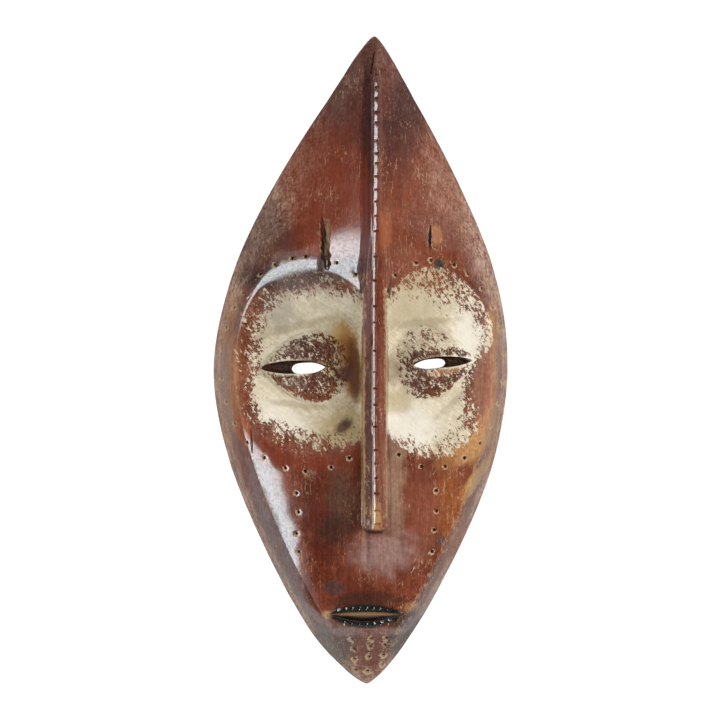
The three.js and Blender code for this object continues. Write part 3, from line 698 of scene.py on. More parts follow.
def cutterTree():                        # cutters on places, taken out of a body
    tree = bpy.data.node_groups.new("repeatedCuts", "GeometryNodeTree")
    for name, kind, value in (("Geometry", "Geometry", None), ("Places", "Object", None),
                              ("Sides", "Int", 12), ("Narrow End", "Float", 0.5),
                              ("Sunk Share", "Float", 0.7), ("Jitter", "Float", 0.1),
                              ("Seed", "Int", 1), ("Material", "Material", None)):
        socket = tree.interface.new_socket(name, in_out="INPUT", socket_type="NodeSocket" + kind)
        if value is not None:
            socket.default_value = value
    tree.interface.new_socket("Geometry", in_out="OUTPUT", socket_type="NodeSocketGeometry")
    given = tree.nodes.new("NodeGroupInput").outputs
    places = addNode(tree, "GeometryNodeObjectInfo", {"Object": given["Places"]})
    cone = addNode(tree, "GeometryNodeMeshCone", {"Radius Top": 1, "Depth": 1, "Vertices": given["Sides"],
                                                  "Radius Bottom": given["Narrow End"]})
    drop = addNode(tree, "ShaderNodeCombineXYZ", {"Z": calc("MULTIPLY", given["Sunk Share"], -1)})
    sunk = addNode(tree, "GeometryNodeTransform", {"Geometry": cone["Mesh"], "Translation": drop["Vector"]})
    named = "GeometryNodeInputNamedAttribute"
    turn, size = [addNode(tree, named, {"Name": name}, data_type="FLOAT_VECTOR")[0]
                  for name in ("turn", "size")]
    chance = addNode(tree, "FunctionNodeRandomValue",
                     {2: calc("SUBTRACT", 1, given["Jitter"]), 3: calc("ADD", 1, given["Jitter"]),
                      "Seed": given["Seed"]}, data_type="FLOAT")
    sized = addNode(tree, "ShaderNodeVectorMath", {0: size, "Scale": chance[1]}, operation="SCALE")
    rotation = addNode(tree, "FunctionNodeEulerToRotation", {0: turn})
    put = addNode(tree, "GeometryNodeInstanceOnPoints",
                  {"Points": places["Geometry"], "Instance": sunk["Geometry"],
                   "Rotation": rotation[0], "Scale": sized["Vector"]})
    cutters = addNode(tree, "GeometryNodeRealizeInstances", {"Geometry": put["Instances"]})
    cut = addNode(tree, "GeometryNodeMeshBoolean",
                  {"Mesh 1": given["Geometry"], "Mesh 2": cutters["Geometry"]},
                  operation="DIFFERENCE", solver="MANIFOLD")
    whole = addNode(tree, "GeometryNodeRealizeInstances", {"Geometry": cut["Mesh"]})
    stuff = addNode(tree, "GeometryNodeSetMaterial",
                    {"Geometry": whole["Geometry"], "Material": given["Material"]})
    addNode(tree, "NodeGroupOutput", {"Geometry": stuff["Geometry"]})
    return tree


def addCuts(piece, tree, places, form):
    modifier = piece.modifiers.new("cuts", "NODES")
    modifier.node_group = tree
    values = {"Places": places, "Material": woodMaterial, "Sides": form["sides"], "Seed": form["seed"],
              "Narrow End": form["narrow"], "Sunk Share": form["sunk"], "Jitter": form["jitter"]}
    for item in tree.interface.items_tree:
        if item.in_out == "INPUT" and item.name in values:
            modifier[item.identifier] = values[item.name]


def eyeHoleCutter():
    points, faces = [], []
    n = eyeHole["sides"]
    for k in eyes.values():
        ring = []
        tilt = math.radians(k["tilt"] + eyeHole["tilt"])
        for i in range(n):
            a = 2 * math.pi * i / n
            share = math.cos(a) * k["side"]
            power, full = eyeHole["outerEnd"] if share > 0 else eyeHole["innerEnd"]
            along = k["holeHalf"] * math.cos(a)
            across = math.copysign(k["holeHigh"] * max(0, 1 - abs(share) ** power) ** full, math.sin(a))
            ring.append((k["holeX"] + along * math.cos(tilt) - across * math.sin(tilt),
                         k["holeY"] + along * math.sin(tilt) + across * math.cos(tilt)))
        low = len(points)
        high = low + n
        points += [(x, y, eyeHole["lowZ"]) for x, y in ring] + [(x, y, eyeHole["highZ"]) for x, y in ring]
        faces += [tuple(low + i for i in reversed(range(n))), tuple(high + i for i in range(n))]
        faces += [(low + i, low + (i + 1) % n, high + (i + 1) % n, high + i) for i in range(n)]
    return meshOf("eyeHoles", np.array(points, float), faces)


def plainMesh(piece):                    # the piece's mesh with its modifiers worked in
    graph = bpy.context.evaluated_depsgraph_get()
    made = bpy.data.meshes.new_from_object(piece.evaluated_get(graph))
    old = piece.data
    piece.modifiers.clear()
    piece.data = made
    bpy.data.meshes.remove(old)


# Finishes: helpers for the node trees, then groups that both woods use
def times(a, b, clamp=False):
    return calc("MULTIPLY", a, b, clamp)


def plus(a, *more):
    for b in more:
        a = calc("ADD", a, b)
    return a


def most(a, *more):                      # the largest of these
    for b in more:
        a = calc("MAXIMUM", a, b)
    return a


def less(a, b, clamp=False):
    return calc("SUBTRACT", a, b, clamp)


def without(a):                          # what is left of 1
    return less(1.0, a)


def vectorCalc(operation, a, b):
    second = "Scale" if operation == "SCALE" else 1
    out = addNode(treeOf(a, b), "ShaderNodeVectorMath", {0: a, second: b}, operation=operation)
    return out["Value"] if operation == "LENGTH" else out["Vector"]


def spread(value, low, high, toLow=0.0, toHigh=1.0):
    feeds = {"Value": value, "From Min": low, "From Max": high, "To Min": toLow, "To Max": toHigh}
    return addNode(treeOf(value), "ShaderNodeMapRange", feeds, interpolation_type="SMOOTHSTEP")["Result"]


def blend(amount, a, b, kind="MIX"):
    a, b = [value if isinstance(value, bpy.types.NodeSocket) else (*value, 1) for value in (a, b)]
    feeds = {0: amount, 6: a, 7: b}
    return addNode(treeOf(amount, a, b), "ShaderNodeMix", feeds, data_type="RGBA", blend_type=kind)[2]


def laid(colour, amount, strength, tint):
    return blend(times(amount, strength), colour, tint)


def turned(place, angle):
    feeds = {"Vector": place, "Angle": angle}
    return addNode(treeOf(place), "ShaderNodeVectorRotate", feeds, rotation_type="Z_AXIS")[0]


def joined(x, y, z):
    return addNode(treeOf(x, y, z), "ShaderNodeCombineXYZ", {"X": x, "Y": y, "Z": z})[0]


def noise(place, scale, detail, rough):
    feeds = {"Vector": place, "Scale": scale, "Detail": detail, "Roughness": rough}
    return addNode(treeOf(place), "ShaderNodeTexNoise", feeds)[0]


def newGroup(name, ins, outs):           # ins and outs: names with default values; a tuple is a vector
    tree = bpy.data.node_groups.new(name, "ShaderNodeTree")
    for direction, ends in (("INPUT", ins), ("OUTPUT", outs)):
        for title, value in ends.items():
            kind = "NodeSocketVector" if isinstance(value, tuple) else "NodeSocketFloat"
            tree.interface.new_socket(title, in_out=direction, socket_type=kind).default_value = value
    return tree, tree.nodes.new("NodeGroupInput").outputs, tree.nodes.new("NodeGroupOutput").inputs


def use(group, place, **values):         # a group on a place; its inputs are named in camelCase
    node = place.id_data.nodes.new("ShaderNodeGroup")
    node.node_tree = group
    feed(node.inputs["Place"], place)
    for socket in node.inputs:
        words = socket.name.split()
        key = words[0].lower() + "".join(words[1:])
        if key in values:
            feed(socket, values[key])
    return node.outputs[0]


origin = (0.0, 0.0, 0.0)


def grainGroup():                        # long thin lines: grain, scratches, strokes of the knife
    tree, given, out = newGroup("grainLines", {"Place": origin, "Width": 1.0, "Length": 12.0, "Turn": 0.0,
                                               "Low": 0.35, "High": 0.65}, {"Lines": 0.0})
    size = joined(given["Width"], given["Length"], given["Length"])
    place = vectorCalc("DIVIDE", turned(given["Place"], given["Turn"]), size)
    feed(out["Lines"], spread(noise(place, 1.0, 2.5, 0.6), given["Low"], given["High"]))
    return tree


def cloudGroup():                        # soft changes of tone
    tree, given, out = newGroup("toneClouds", {"Place": origin, "Size": 30.0, "Low": 0.35, "High": 0.65},
                                {"Cloud": 0.0})
    scaled = vectorCalc("SCALE", given["Place"], calc("DIVIDE", 1.0, given["Size"]))
    feed(out["Cloud"], spread(noise(scaled, 1.0, 4.0, 0.6), given["Low"], given["High"]))
    return tree


def patchGroup():                        # a soft oval with a ragged edge
    tree, given, out = newGroup("softPatch", {"Place": origin, "Centre": origin,
                                              "Half Size": (10.0, 10.0, 1.0), "Turn": 0.0,
                                              "Ragged": 0.0, "Soft": 0.5}, {"Mask": 0.0})
    flat = vectorCalc("MULTIPLY", vectorCalc("SUBTRACT", given["Place"], given["Centre"]), (1, 1, 0))
    shares = vectorCalc("DIVIDE", turned(flat, given["Turn"]), given["Half Size"])
    reach = plus(vectorCalc("LENGTH", shares, origin), given["Ragged"])
    feed(out["Mask"], spread(reach, without(given["Soft"]), plus(1.0, given["Soft"]), 1.0, 0.0))
    return tree


def speckleGroup():                      # paint worn to specks where it covers less
    tree, given, out = newGroup("wornSpecks", {"Place": origin, "Coverage": 0.5, "Size": 1.3, "Stretch": 1.5,
                                               "Turn": 0.0}, {"Mask": 0.0})
    place = turned(given["Place"], given["Turn"])
    size = given["Size"]
    scaled = vectorCalc("DIVIDE", place, joined(size, times(size, given["Stretch"]), times(size, 3.0)))
    small, large = noise(scaled, 1.0, 3.0, 0.7), noise(scaled, 0.42, 2.0, 0.6)
    fine = spread(plus(times(small, 0.62), times(large, 0.38)), 0.34, 0.66)
    clump = spread(noise(vectorCalc("SCALE", place, 0.16), 1.0, 2.0, 0.5), 0.3, 0.7, -0.5, 0.5)
    cover = given["Coverage"]            # the clumps count where it neither covers all nor is gone
    level = less(times(plus(cover, times(times(cover, without(cover)), clump)), 1.3), 0.15)
    feed(out["Mask"], spread(less(level, fine), -0.08, 0.08))
    return tree


grainLines, toneClouds, softPatch, wornSpecks = grainGroup(), cloudGroup(), patchGroup(), speckleGroup()


def clouds(place, size, low=0.3, high=0.7):
    return use(toneClouds, place, size=size, low=low, high=high)


def lines(place, width, length, low=0.3, high=0.7, turn=0.0):
    return use(grainLines, place, width=width, length=length, low=low, high=high, turn=turn)


def specks(place, coverage, size, stretch, turn=0.0):
    return use(wornSpecks, place, coverage=coverage, size=size, stretch=stretch, turn=turn)


def oval(place, centre, half, turn=0.0, ragged=0.0, soft=0.5):
    return use(softPatch, place, centre=(*centre, 0), halfSize=(*half, 1), turn=math.radians(-turn),
               ragged=ragged, soft=soft)


wood = {
    "deep": (0.085, 0.0160, 0.0080), "warm": (0.215, 0.049, 0.019), "dusty": (0.52, 0.375, 0.275),
    "kaolin": (0.80, 0.725, 0.565), "kaolinShade": (0.42, 0.345, 0.215), "clayPore": (0.22, 0.145, 0.08),
    "oldDirt": (0.018, 0.011, 0.008), "lipBlack": (0.012, 0.011, 0.010), "scratch": (0.50, 0.31, 0.185),
    "brim": (0.52, 0.40, 0.24), "rubbed": (0.36, 0.22, 0.12),
    "slitBlack": (0.008, 0.005, 0.003), "slitBrown": (0.095, 0.048, 0.024),
    # what the grain and the fine clouds do to the colour, from their dark parts to their light ones
    "grainTint": ((0.84, 0.82, 0.82), (1.14, 1.16, 1.2)),
    "fineTint": ((0.80, 0.76, 0.74), (1.20, 1.24, 1.28)),
    "shows": {"scratch": 0.75, "fleck": 0.55, "pore": 0.55, "rubbed": 0.6, "dirt": 0.75, "clay": 0.97,
              "clayPore": 0.65, "brim": 0.85, "fill": 0.9},
    "rough": 0.2, "mattRough": 0.85, "gloss": 1.0, "coatRough": 0.17, "coatIOR": 1.8, "specular": 0.07,
    "bumpHeight": 0.00005,
}
# patches of other colour, real stains and some painted sheen or painted shade: centre, half size, turn in
# degrees, colour, how strong, how far the edge is broken
stainsAndPaintedLight = {
    "dullTop": ((8, 160), (60, 46), 0, (0.092, 0.025, 0.018), 0.7, 0.5),
    # painted sheen: a pale grey haze where the highlights on the left cheek and on the forehead fall
    "cheekBloom": ((-47.5, -85), (8, 40), 18, (0.19, 0.165, 0.165), 0.65, 0.7),
    "foreheadBloom": ((-9.5, 58), (9, 12), 0, (0.19, 0.165, 0.165), 0.6, 0.7),
    "darkFlute": ((4.4, 110), (3.6, 58), 0, (0.040, 0.009, 0.006), 0.85, 0.5),
    "darkBesideRib": ((23, 125), (11, 34), -8, (0.050, 0.020, 0.018), 0.7, 0.6),
    "redForehead": ((-18, 88), (24, 44), 12, (0.205, 0.034, 0.011), 0.7, 0.5),
    "redHead": ((38, 82), (26, 42), -10, (0.210, 0.058, 0.028), 0.6, 0.6),
    "duskyLeft": ((-58, 70), (18, 60), 24, (0.090, 0.040, 0.030), 0.6, 0.5),
    "orangeByRib": ((14, 70), (3.5, 12), 0, (0.30, 0.085, 0.028), 0.7, 0.5),
    "orangeSpot": ((41.7, 69), (3.6, 5.5), 10, (0.36, 0.13, 0.045), 0.9, 0.4),
    "greenSpot": ((43.2, 52.3), (2.4, 3.0), 0, (0.022, 0.030, 0.022), 0.9, 0.3),
    "gougeOchre": ((-18.6, 62), (1.5, 13), -6, (0.24, 0.155, 0.070), 0.95, 0.5),
    "gougeShadow": ((-20.4, 60), (1.0, 14), -7, (0.016, 0.012, 0.010), 0.95, 0.4),
    "chipPale": ((-27.2, -61.5), (3.0, 2.4), 40, (0.38, 0.23, 0.12), 0.7, 1.0),
    "slitShadow": ((38.3, 67.5), (1.1, 6.5), 3, (0.016, 0.014, 0.014), 0.85, 0.3),
    "ochreCorner": ((73.0, 17), (3.4, 10), 6, (0.42, 0.20, 0.060), 0.85, 0.5),
    "ochreStrip": ((73.5, -18), (3.0, 44), -2, (0.33, 0.13, 0.040), 0.65, 0.7),
    "ochreLowRim": ((67.5, -39), (5.5, 17), -24, (0.43, 0.21, 0.070), 0.8, 0.6),
    "ochreBand": ((56.5, -49.5), (15, 6.0), 32, (0.40, 0.195, 0.062), 0.85, 0.6),
    "ochreRun": ((62.5, -66), (3.4, 17), -36, (0.44, 0.235, 0.075), 0.9, 0.5),
    "orangeCheek": ((49.5, -84), (8.5, 30), 6, (0.25, 0.066, 0.012), 0.88, 0.9),
    "redCheekLeft": ((-22, -84), (12, 32), 4, (0.082, 0.014, 0.007), 0.75, 0.9),
    "paleRedRight": ((68, -10), (7, 26), 0, (0.35, 0.165, 0.105), 0.65, 0.9),
    "paleCheekRight": ((32, -84), (9, 26), 0, (0.26, 0.082, 0.044), 0.6, 0.9),
    "orangeRimLeft": ((-69.0, -10), (2.8, 26), 0, (0.30, 0.105, 0.030), 0.65, 1.0),
    "orangeLowLeft": ((-65.5, -34), (4.4, 14), 22, (0.29, 0.075, 0.020), 0.75, 0.6),
    "ochreSideLeft": ((-69.5, 29), (3.2, 10), -20, (0.30, 0.16, 0.075), 0.6, 0.7),
    "redUnderSocket": ((-37, -52), (26, 7), -8, (0.17, 0.030, 0.012), 0.7, 0.4),
    "dustyByNose": ((-9.5, -74), (8.5, 17), 4, (0.100, 0.056, 0.036), 0.6, 0.9),
    "darkByNose": ((-13, -92), (10, 9), 30, (0.040, 0.020, 0.014), 0.6, 0.7),
    "dustyRight": ((18.5, -66), (5.4, 26), 0, (0.43, 0.265, 0.17), 0.75, 1.3),
    # painted sheen: a pale lavender haze between the nose and the mouth
    "paleMuzzle": ((13, -104), (15, 11), 0, (0.37, 0.245, 0.21), 0.62, 1.1),
    "noseFootLeft": ((1.6, -38), (1.1, 50), 0, (0.42, 0.27, 0.115), 0.8, 0.9),
    "noseFootLow": ((1.8, -83), (0.9, 8), 0, (0.42, 0.27, 0.115), 0.8, 0.6),
    # painted reflection: the left flank of the nose greyed as if it mirrored a dim light
    "noseFlankLeft": ((4.6, -40), (2.2, 60), 0, (0.085, 0.044, 0.037), 0.85, 0.5),
    # painted sheen: a lavender haze on the ridge left of the rib
    "lavenderByRib": ((2.6, 42), (4.4, 34), 0, (0.150, 0.080, 0.076), 0.65, 0.7),
    "warmSideLeft": ((-73, -12), (6.5, 42), 0, (0.40, 0.20, 0.095), 0.5, 1.2),
    "noseFlankRight": ((12.4, -40), (2.2, 60), 0, (0.25, 0.085, 0.052), 0.6, 0.5),
    "greySmudge": ((-14.5, -124), (5.5, 4.0), 0, (0.055, 0.038, 0.034), 0.7, 0.6),
    "greenSmudge": ((44.5, -98.5), (3.2, 2.8), 0, (0.060, 0.050, 0.038), 0.8, 0.5),
    "goldNoseEnd": ((8.6, -85), (3.0, 8.5), 4, (0.46, 0.24, 0.080), 0.85, 0.9),
    "ochreMouthLeft": ((-18.2, -139.5), (2.6, 2.4), 0, (0.46, 0.25, 0.105), 0.8, 1.2),
    "ochreMouthRight": ((28.0, -135.5), (4.4, 3.2), 30, (0.42, 0.22, 0.085), 0.75, 0.6),
    "darkAboveMouth": ((4.0, -131), (20, 5.0), 0, (0.030, 0.016, 0.012), 0.6, 0.5),
    # painted sheen: a grey-lavender haze on the sides of the chin, darker on the right
    "greyChin": ((-14, -155), (13, 14), 35, (0.115, 0.088, 0.068), 0.75, 0.5),
    "greyChinRight": ((24, -150), (9, 17), -30, (0.052, 0.036, 0.032), 0.9, 0.5),
    "lidLeft": ((-28.5, -2), (22, 15), 2, (0.052, 0.010, 0.008), 0.85, 0.5),
    "lidRight": ((41.5, -4), (20, 13), 4, (0.060, 0.015, 0.011), 0.75, 0.5),
    "lidRightBare": ((47.5, -5.6), (10.0, 2.4), 14, (0.30, 0.125, 0.050), 0.9, 0.4),
    # bare wood under the brow inside the left socket, darkened with painted shade
    "socketBandLeft": ((-30, 48), (36, 8.0), 6, (0.042, 0.016, 0.016), 0.85, 0.5),
    # painted sheen: a pale lavender line along the crest round the mouth
    "crestLeft": ((-24.0, -140), (2.6, 13), 52, (0.30, 0.22, 0.20), 0.6, 0.7),
    "crestMiddle": ((4.5, -148.2), (24, 2.6), 0, (0.30, 0.22, 0.20), 0.6, 0.7),
    "crestRight": ((38.5, -134), (2.8, 16), -40, (0.30, 0.22, 0.20), 0.6, 0.7),
    "redChin": ((6.0, -161), (10, 14), 0, (0.17, 0.048, 0.030), 0.8, 0.6),
}
# stains and painted shade over the white clay, written the same way
clayStainsAndShade = {
    "oliveShade": ((-12, 4), (9, 19), 0, (0.40, 0.31, 0.15), 0.65, 0.6),
    "cornerGlow": ((-8.5, 13.0), (6.0, 7), 30, (0.46, 0.28, 0.09), 0.8, 0.6),
    "noseCorner": ((-4.6, -3.0), (5.6, 21), 6, (0.34, 0.155, 0.040), 0.95, 0.5),
    # partly a dark stain and partly painted shade, in the corner by the nose
    "cornerDeep": ((-3.2, -6.0), (3.6, 17), 4, (0.085, 0.028, 0.011), 0.85, 0.6),
    "lidEnd": ((-8.6, -7.5), (5.0, 4.0), -10, (0.130, 0.062, 0.058), 0.8, 0.6),
    # painted shade on the clay under the left brow
    "browDusk": ((-24, 44), (26, 7.5), -4, (0.060, 0.028, 0.022), 0.35, 0.8),
    "oliveLow": ((-9, -38), (13, 14), 0, (0.38, 0.28, 0.12), 0.8, 1.0),
    "purpleSmudge": ((-9.2, -36.5), (5.2, 2.6), 28, (0.085, 0.034, 0.028), 0.9, 1.1),
    "purpleSpot": ((-7.0, -33.6), (3.0, 2.6), 0, (0.085, 0.034, 0.028), 0.8, 1.1),
    "greyLeft": ((-44, 26), (9, 12), 30, (0.34, 0.29, 0.24), 0.6, 1.0),
    "duskRight": ((27, 32), (22, 18), 0, (0.43, 0.36, 0.235), 0.75, 1.0),
    "whiteLowRight": ((25, -36), (16, 13), 0, (0.81, 0.765, 0.67), 0.7, 0.8),
    "whiteSideRight": ((60, 12), (9, 20), 0, (0.84, 0.80, 0.70), 0.6, 0.7),
    "whiteLowLeft": ((-44, -32), (16, 8), -20, (0.80, 0.75, 0.645), 0.6, 0.8),
    "brownTopRight": ((38, 46), (22, 7), 0, (0.40, 0.29, 0.17), 0.6, 0.8),
    # painted shade along the folds round the lids and in the right socket's inner fold: colour here, not
    # shape
    "foldRight": ((34, 20.5), (19, 2.2), 6, (0.33, 0.27, 0.17), 0.6, 0.9),
    "foldRightLow": ((52, -22), (13, 2.0), 42, (0.36, 0.30, 0.20), 0.55, 0.9),
    "foldLeft": ((-36, 18), (20, 2.2), 14, (0.36, 0.29, 0.18), 0.55, 0.9),
    "foldLeftLow": ((-33, -24.5), (17, 1.8), -6, (0.34, 0.27, 0.16), 0.55, 0.9),
    "innerFoldRight": ((17.6, -5.5), (4.0, 9), 0, (0.20, 0.13, 0.065), 0.55, 0.7),
    "oliveRight": ((20.5, -23), (8, 6), 0, (0.42, 0.34, 0.17), 0.6, 0.6),
}
# where the polish is gone: centre, half size, turn, how dull, and how far the edge is broken
dullSpots = {
    "top": ((8, 165), (70, 62), 0, 0.85, 0.4),
    "aboveBrow": ((-20, 104), (48, 32), 0, 1.0, 0.55),
    "lowCheek": ((-25.0, -118), (7.5, 26), 12, 0.95, 0.35),
    "cheekEdge": ((-56.5, -78), (7.0, 46), 23, 0.8, 0.6),
    "lowRimLeft": ((-66.5, -18), (3.5, 30), 4, 0.9, 0.3),
    "besideRib": ((3.2, 14), (3.5, 112), 0, 0.95, 0.05),
    "flute": ((4.0, 114), (3.1, 52), 0, 0.97, 0.05),
    "gouge": ((-19.6, 64), (3.4, 18), -7, 1.0, 0.1),
    "lipEnd": ((-17.5, -139), (5, 5), 0, 0.9, 0.1),
    "chip": ((-27, -61.5), (4, 4), 0, 0.95, 0.1),
    "underSocket": ((-8, -50), (14, 9), 0, 0.8, 0.4),
}
# on the head: centre and half size of the flute, which isn't scratched, and of the rib, which stays polished
headRib = {"flute": ((4.4, 112), (3.4, 58)), "rib": ((9.8, 112), (2.7, 55))}


def layDullSpots(place, ragged):
    dull = 0.0
    for centre, half, turn, strength, broken in dullSpots.values():
        spot = oval(place, centre, half, turn, times(ragged, broken), 0.1 + 0.35 * broken)
        dull = most(dull, times(spot, strength))
    return times(dull, without(oval(place, *headRib["rib"], soft=0.1)))


def layPatches(place, colour, which, ragged):
    for centre, half, turn, tint, strength, broken in which.values():
        spot = oval(place, centre, half, turn, times(ragged, broken), 0.1 + 0.5 * broken)
        colour = laid(colour, spot, strength, tint)
    return colour


def newMaterial(name):                   # its shader, and places on it in millimetres
    material = bpy.data.materials.new(name)
    material.use_nodes = True
    tree = material.node_tree
    where = tree.nodes.new("ShaderNodeTexCoord").outputs["Object"]
    return material, tree.nodes["Principled BSDF"].inputs, vectorCalc("SCALE", where, 1000.0)


def addBump(shader, height, distance):
    bump = addNode(treeOf(height), "ShaderNodeBump", {"Distance": distance, "Height": height})
    feed(shader["Normal"], bump["Normal"])


# White clay rubbed into the sockets: where it still is, and its colour
def clayFinish(place, kaolin, fine, ragged):
    cover = times(kaolin, without(times(clouds(place, 6.0, 0.4, 0.7), 0.10)))
    clay = most(specks(place, cover, 0.95, 2.3, turn=-0.6), times(times(kaolin, fine), 0.3),
                specks(place, times(kaolin, 0.62), 1.6, 1.5, turn=0.5))
    tone = plus(times(clouds(place, 11.0, 0.3, 0.75), 0.45), times(clouds(place, 2.6), 0.25),
                times(lines(place, 1.3, 9.0, turn=-0.9), 0.3))
    colour = blend(tone, wood["kaolin"], wood["kaolinShade"])
    thin = plus(0.03, times(clouds(place, 13.0, 0.38, 0.62), 0.17))
    pores = most(lines(place, 0.5, 1.8, 0.60, 0.72, turn=0.9), specks(place, thin, 0.75, 2.6, turn=-0.8))
    colour = laid(colour, pores, wood["shows"]["clayPore"], wood["clayPore"])
    return clay, layPatches(place, colour, clayStainsAndShade, ragged)


maskNames = ("kaolin", "pit", "fill", "lip", "worn", "cavity", "socketed", "flank", "brim", "dulled")


def oiledWood():
    material, shader, place = newMaterial("oiledWood")
    kaolin, pit, fill, lip, worn, cavity, socketed, flank, brim, dulled = [
        addNode(place.id_data, "ShaderNodeAttribute", {}, attribute_name=name)["Fac"] for name in maskNames]
    shows = wood["shows"]
    broad, middle, fine = clouds(place, 38.0), clouds(place, 9.0), clouds(place, 1.9, 0.25, 0.75)
    ragged = less(plus(times(clouds(place, 7.0, 0.2, 0.8), 0.7), times(fine, 0.3)), 0.5)
    grain, strands = lines(place, 0.9, 16.0), lines(place, 2.6, 45.0, turn=0.04)
    tone = plus(times(broad, 0.4), times(strands, 0.2), times(middle, 0.4))
    colour = blend(tone, wood["deep"], wood["warm"])
    # the low sides get a pale colour of dust, which also stands in for a painted sheen there
    colour = laid(colour, flank, plus(times(middle, 0.5), times(fine, 0.45)), wood["dusty"])
    colour = layPatches(place, colour, stainsAndPaintedLight, ragged)
    colour = blend(1.0, colour, blend(grain, *wood["grainTint"]), "MULTIPLY")
    colour = blend(1.0, colour, blend(fine, *wood["fineTint"]), "MULTIPLY")
    # fine pale scratches, mostly upright, in some places only and not in the flute beside the rib
    where = most(clouds(place, 24.0, 0.38, 0.62), times(flank, 0.8))
    where = times(where, without(oval(place, *headRib["flute"], soft=0.2)))
    scratch = times(most(lines(place, 0.50, 8.0, 0.60, 0.69), lines(place, 0.45, 5.0, 0.65, 0.73, turn=0.6),
                         lines(place, 0.45, 4.0, 0.66, 0.74, turn=-0.5)), where)
    flecks = specks(place, times(where, 0.22), 0.6, 2.6)
    colour = laid(colour, scratch, shows["scratch"], wood["scratch"])
    colour = laid(colour, flecks, shows["fleck"], wood["scratch"])
    pores = lines(place, 0.55, 2.4, 0.66, 0.74)
    colour = laid(colour, pores, shows["pore"], wood["oldDirt"])
    # edges rubbed pale, hollows full of old dirt
    colour = laid(colour, specks(place, times(worn, 0.55), 1.6, 2.0), shows["rubbed"], wood["rubbed"])
    colour = laid(colour, cavity, shows["dirt"], wood["oldDirt"])
    clay, clayColour = clayFinish(place, kaolin, fine, ragged)
    colour = laid(colour, clay, shows["clay"], clayColour)
    colour = laid(colour, specks(place, brim, 0.9, 1.0), shows["brim"], wood["brim"])
    # blackened lips, dark pits and what is left in them
    colour = blend(lip, colour, wood["lipBlack"])
    crumbs = lines(place, 2.4, 0.8, 0.4, 0.75)
    colour = blend(pit, colour, blend(crumbs, wood["slitBlack"], wood["slitBrown"]))
    colour = laid(colour, fill, shows["fill"], wood["rubbed"])
    feed(shader["Base Color"], colour)
    # oil polished by handling, gone in the sockets, on the sides and where the wood is scratched or dirty
    matt = most(clay, times(pit, 0.8), fill)
    sheen = plus(wood["rough"], times(socketed, 0.2), times(clouds(place, 14.0), 0.10), times(pores, 0.25))
    roughness = addNode(place.id_data, "ShaderNodeMix", {0: matt, 2: sheen, 3: wood["mattRough"]})[0]
    feed(shader["Roughness"], roughness)
    shader["Specular IOR Level"].default_value = wood["specular"]
    dull = most(layDullSpots(place, ragged), dulled, times(socketed, 0.96))
    grit = clouds(place, 0.9, 0.4, 0.7)
    broken = plus(times(pores, 0.7), times(without(fine), 0.3), times(grit, 0.5))
    polish = times(times(without(matt), without(dull)), less(1.15, most(broken, scratch), clamp=True))
    polish = times(polish, without(times(flank, 0.6)))
    feed(shader["Coat Weight"], times(polish, wood["gloss"], clamp=True))
    shader["Coat Roughness"].default_value = wood["coatRough"]
    shader["Coat IOR"].default_value = wood["coatIOR"]
    height = less(less(plus(times(grain, 0.5), times(clay, 1.2)), times(pores, 0.8)), times(scratch, 0.9))
    addBump(shader, plus(height, times(middle, 1.2)), wood["bumpHeight"])
    return material


rawHollow = {
    "dark": (0.105, 0.058, 0.034), "light": (0.19, 0.115, 0.068), "grimy": (0.060, 0.030, 0.020),
    "grainTint": ((0.62, 0.60, 0.58), (1.2, 1.2, 1.2)), "rough": 0.62, "bumpHeight": 0.0005,
    "handled": (62, 130),                # half size of the middle, which hands and head have kept clean
}


def rawWood():                           # the hollow, rough from the adze and never oiled
    material, shader, place = newMaterial("rawWood")
    grain, broad = lines(place, 1.3, 22.0), clouds(place, 45.0)
    colour = blend(broad, rawHollow["dark"], rawHollow["light"])
    colour = blend(1.0, colour, blend(grain, *rawHollow["grainTint"]), "MULTIPLY")
    handled = oval(place, (0, 0), rawHollow["handled"], ragged=times(less(broad, 0.5), 0.4), soft=0.3)
    feed(shader["Base Color"], laid(colour, without(handled), 0.6, rawHollow["grimy"]))
    feed(shader["Roughness"], plus(rawHollow["rough"], times(grain, 0.2)))
    strokes = lines(place, 5.0, 24.0, 0.25, 0.75, turn=0.25)
    addBump(shader, plus(strokes, times(grain, 0.3)), rawHollow["bumpHeight"])
    return material


woodMaterial, hollowMaterial = oiledWood(), rawWood()

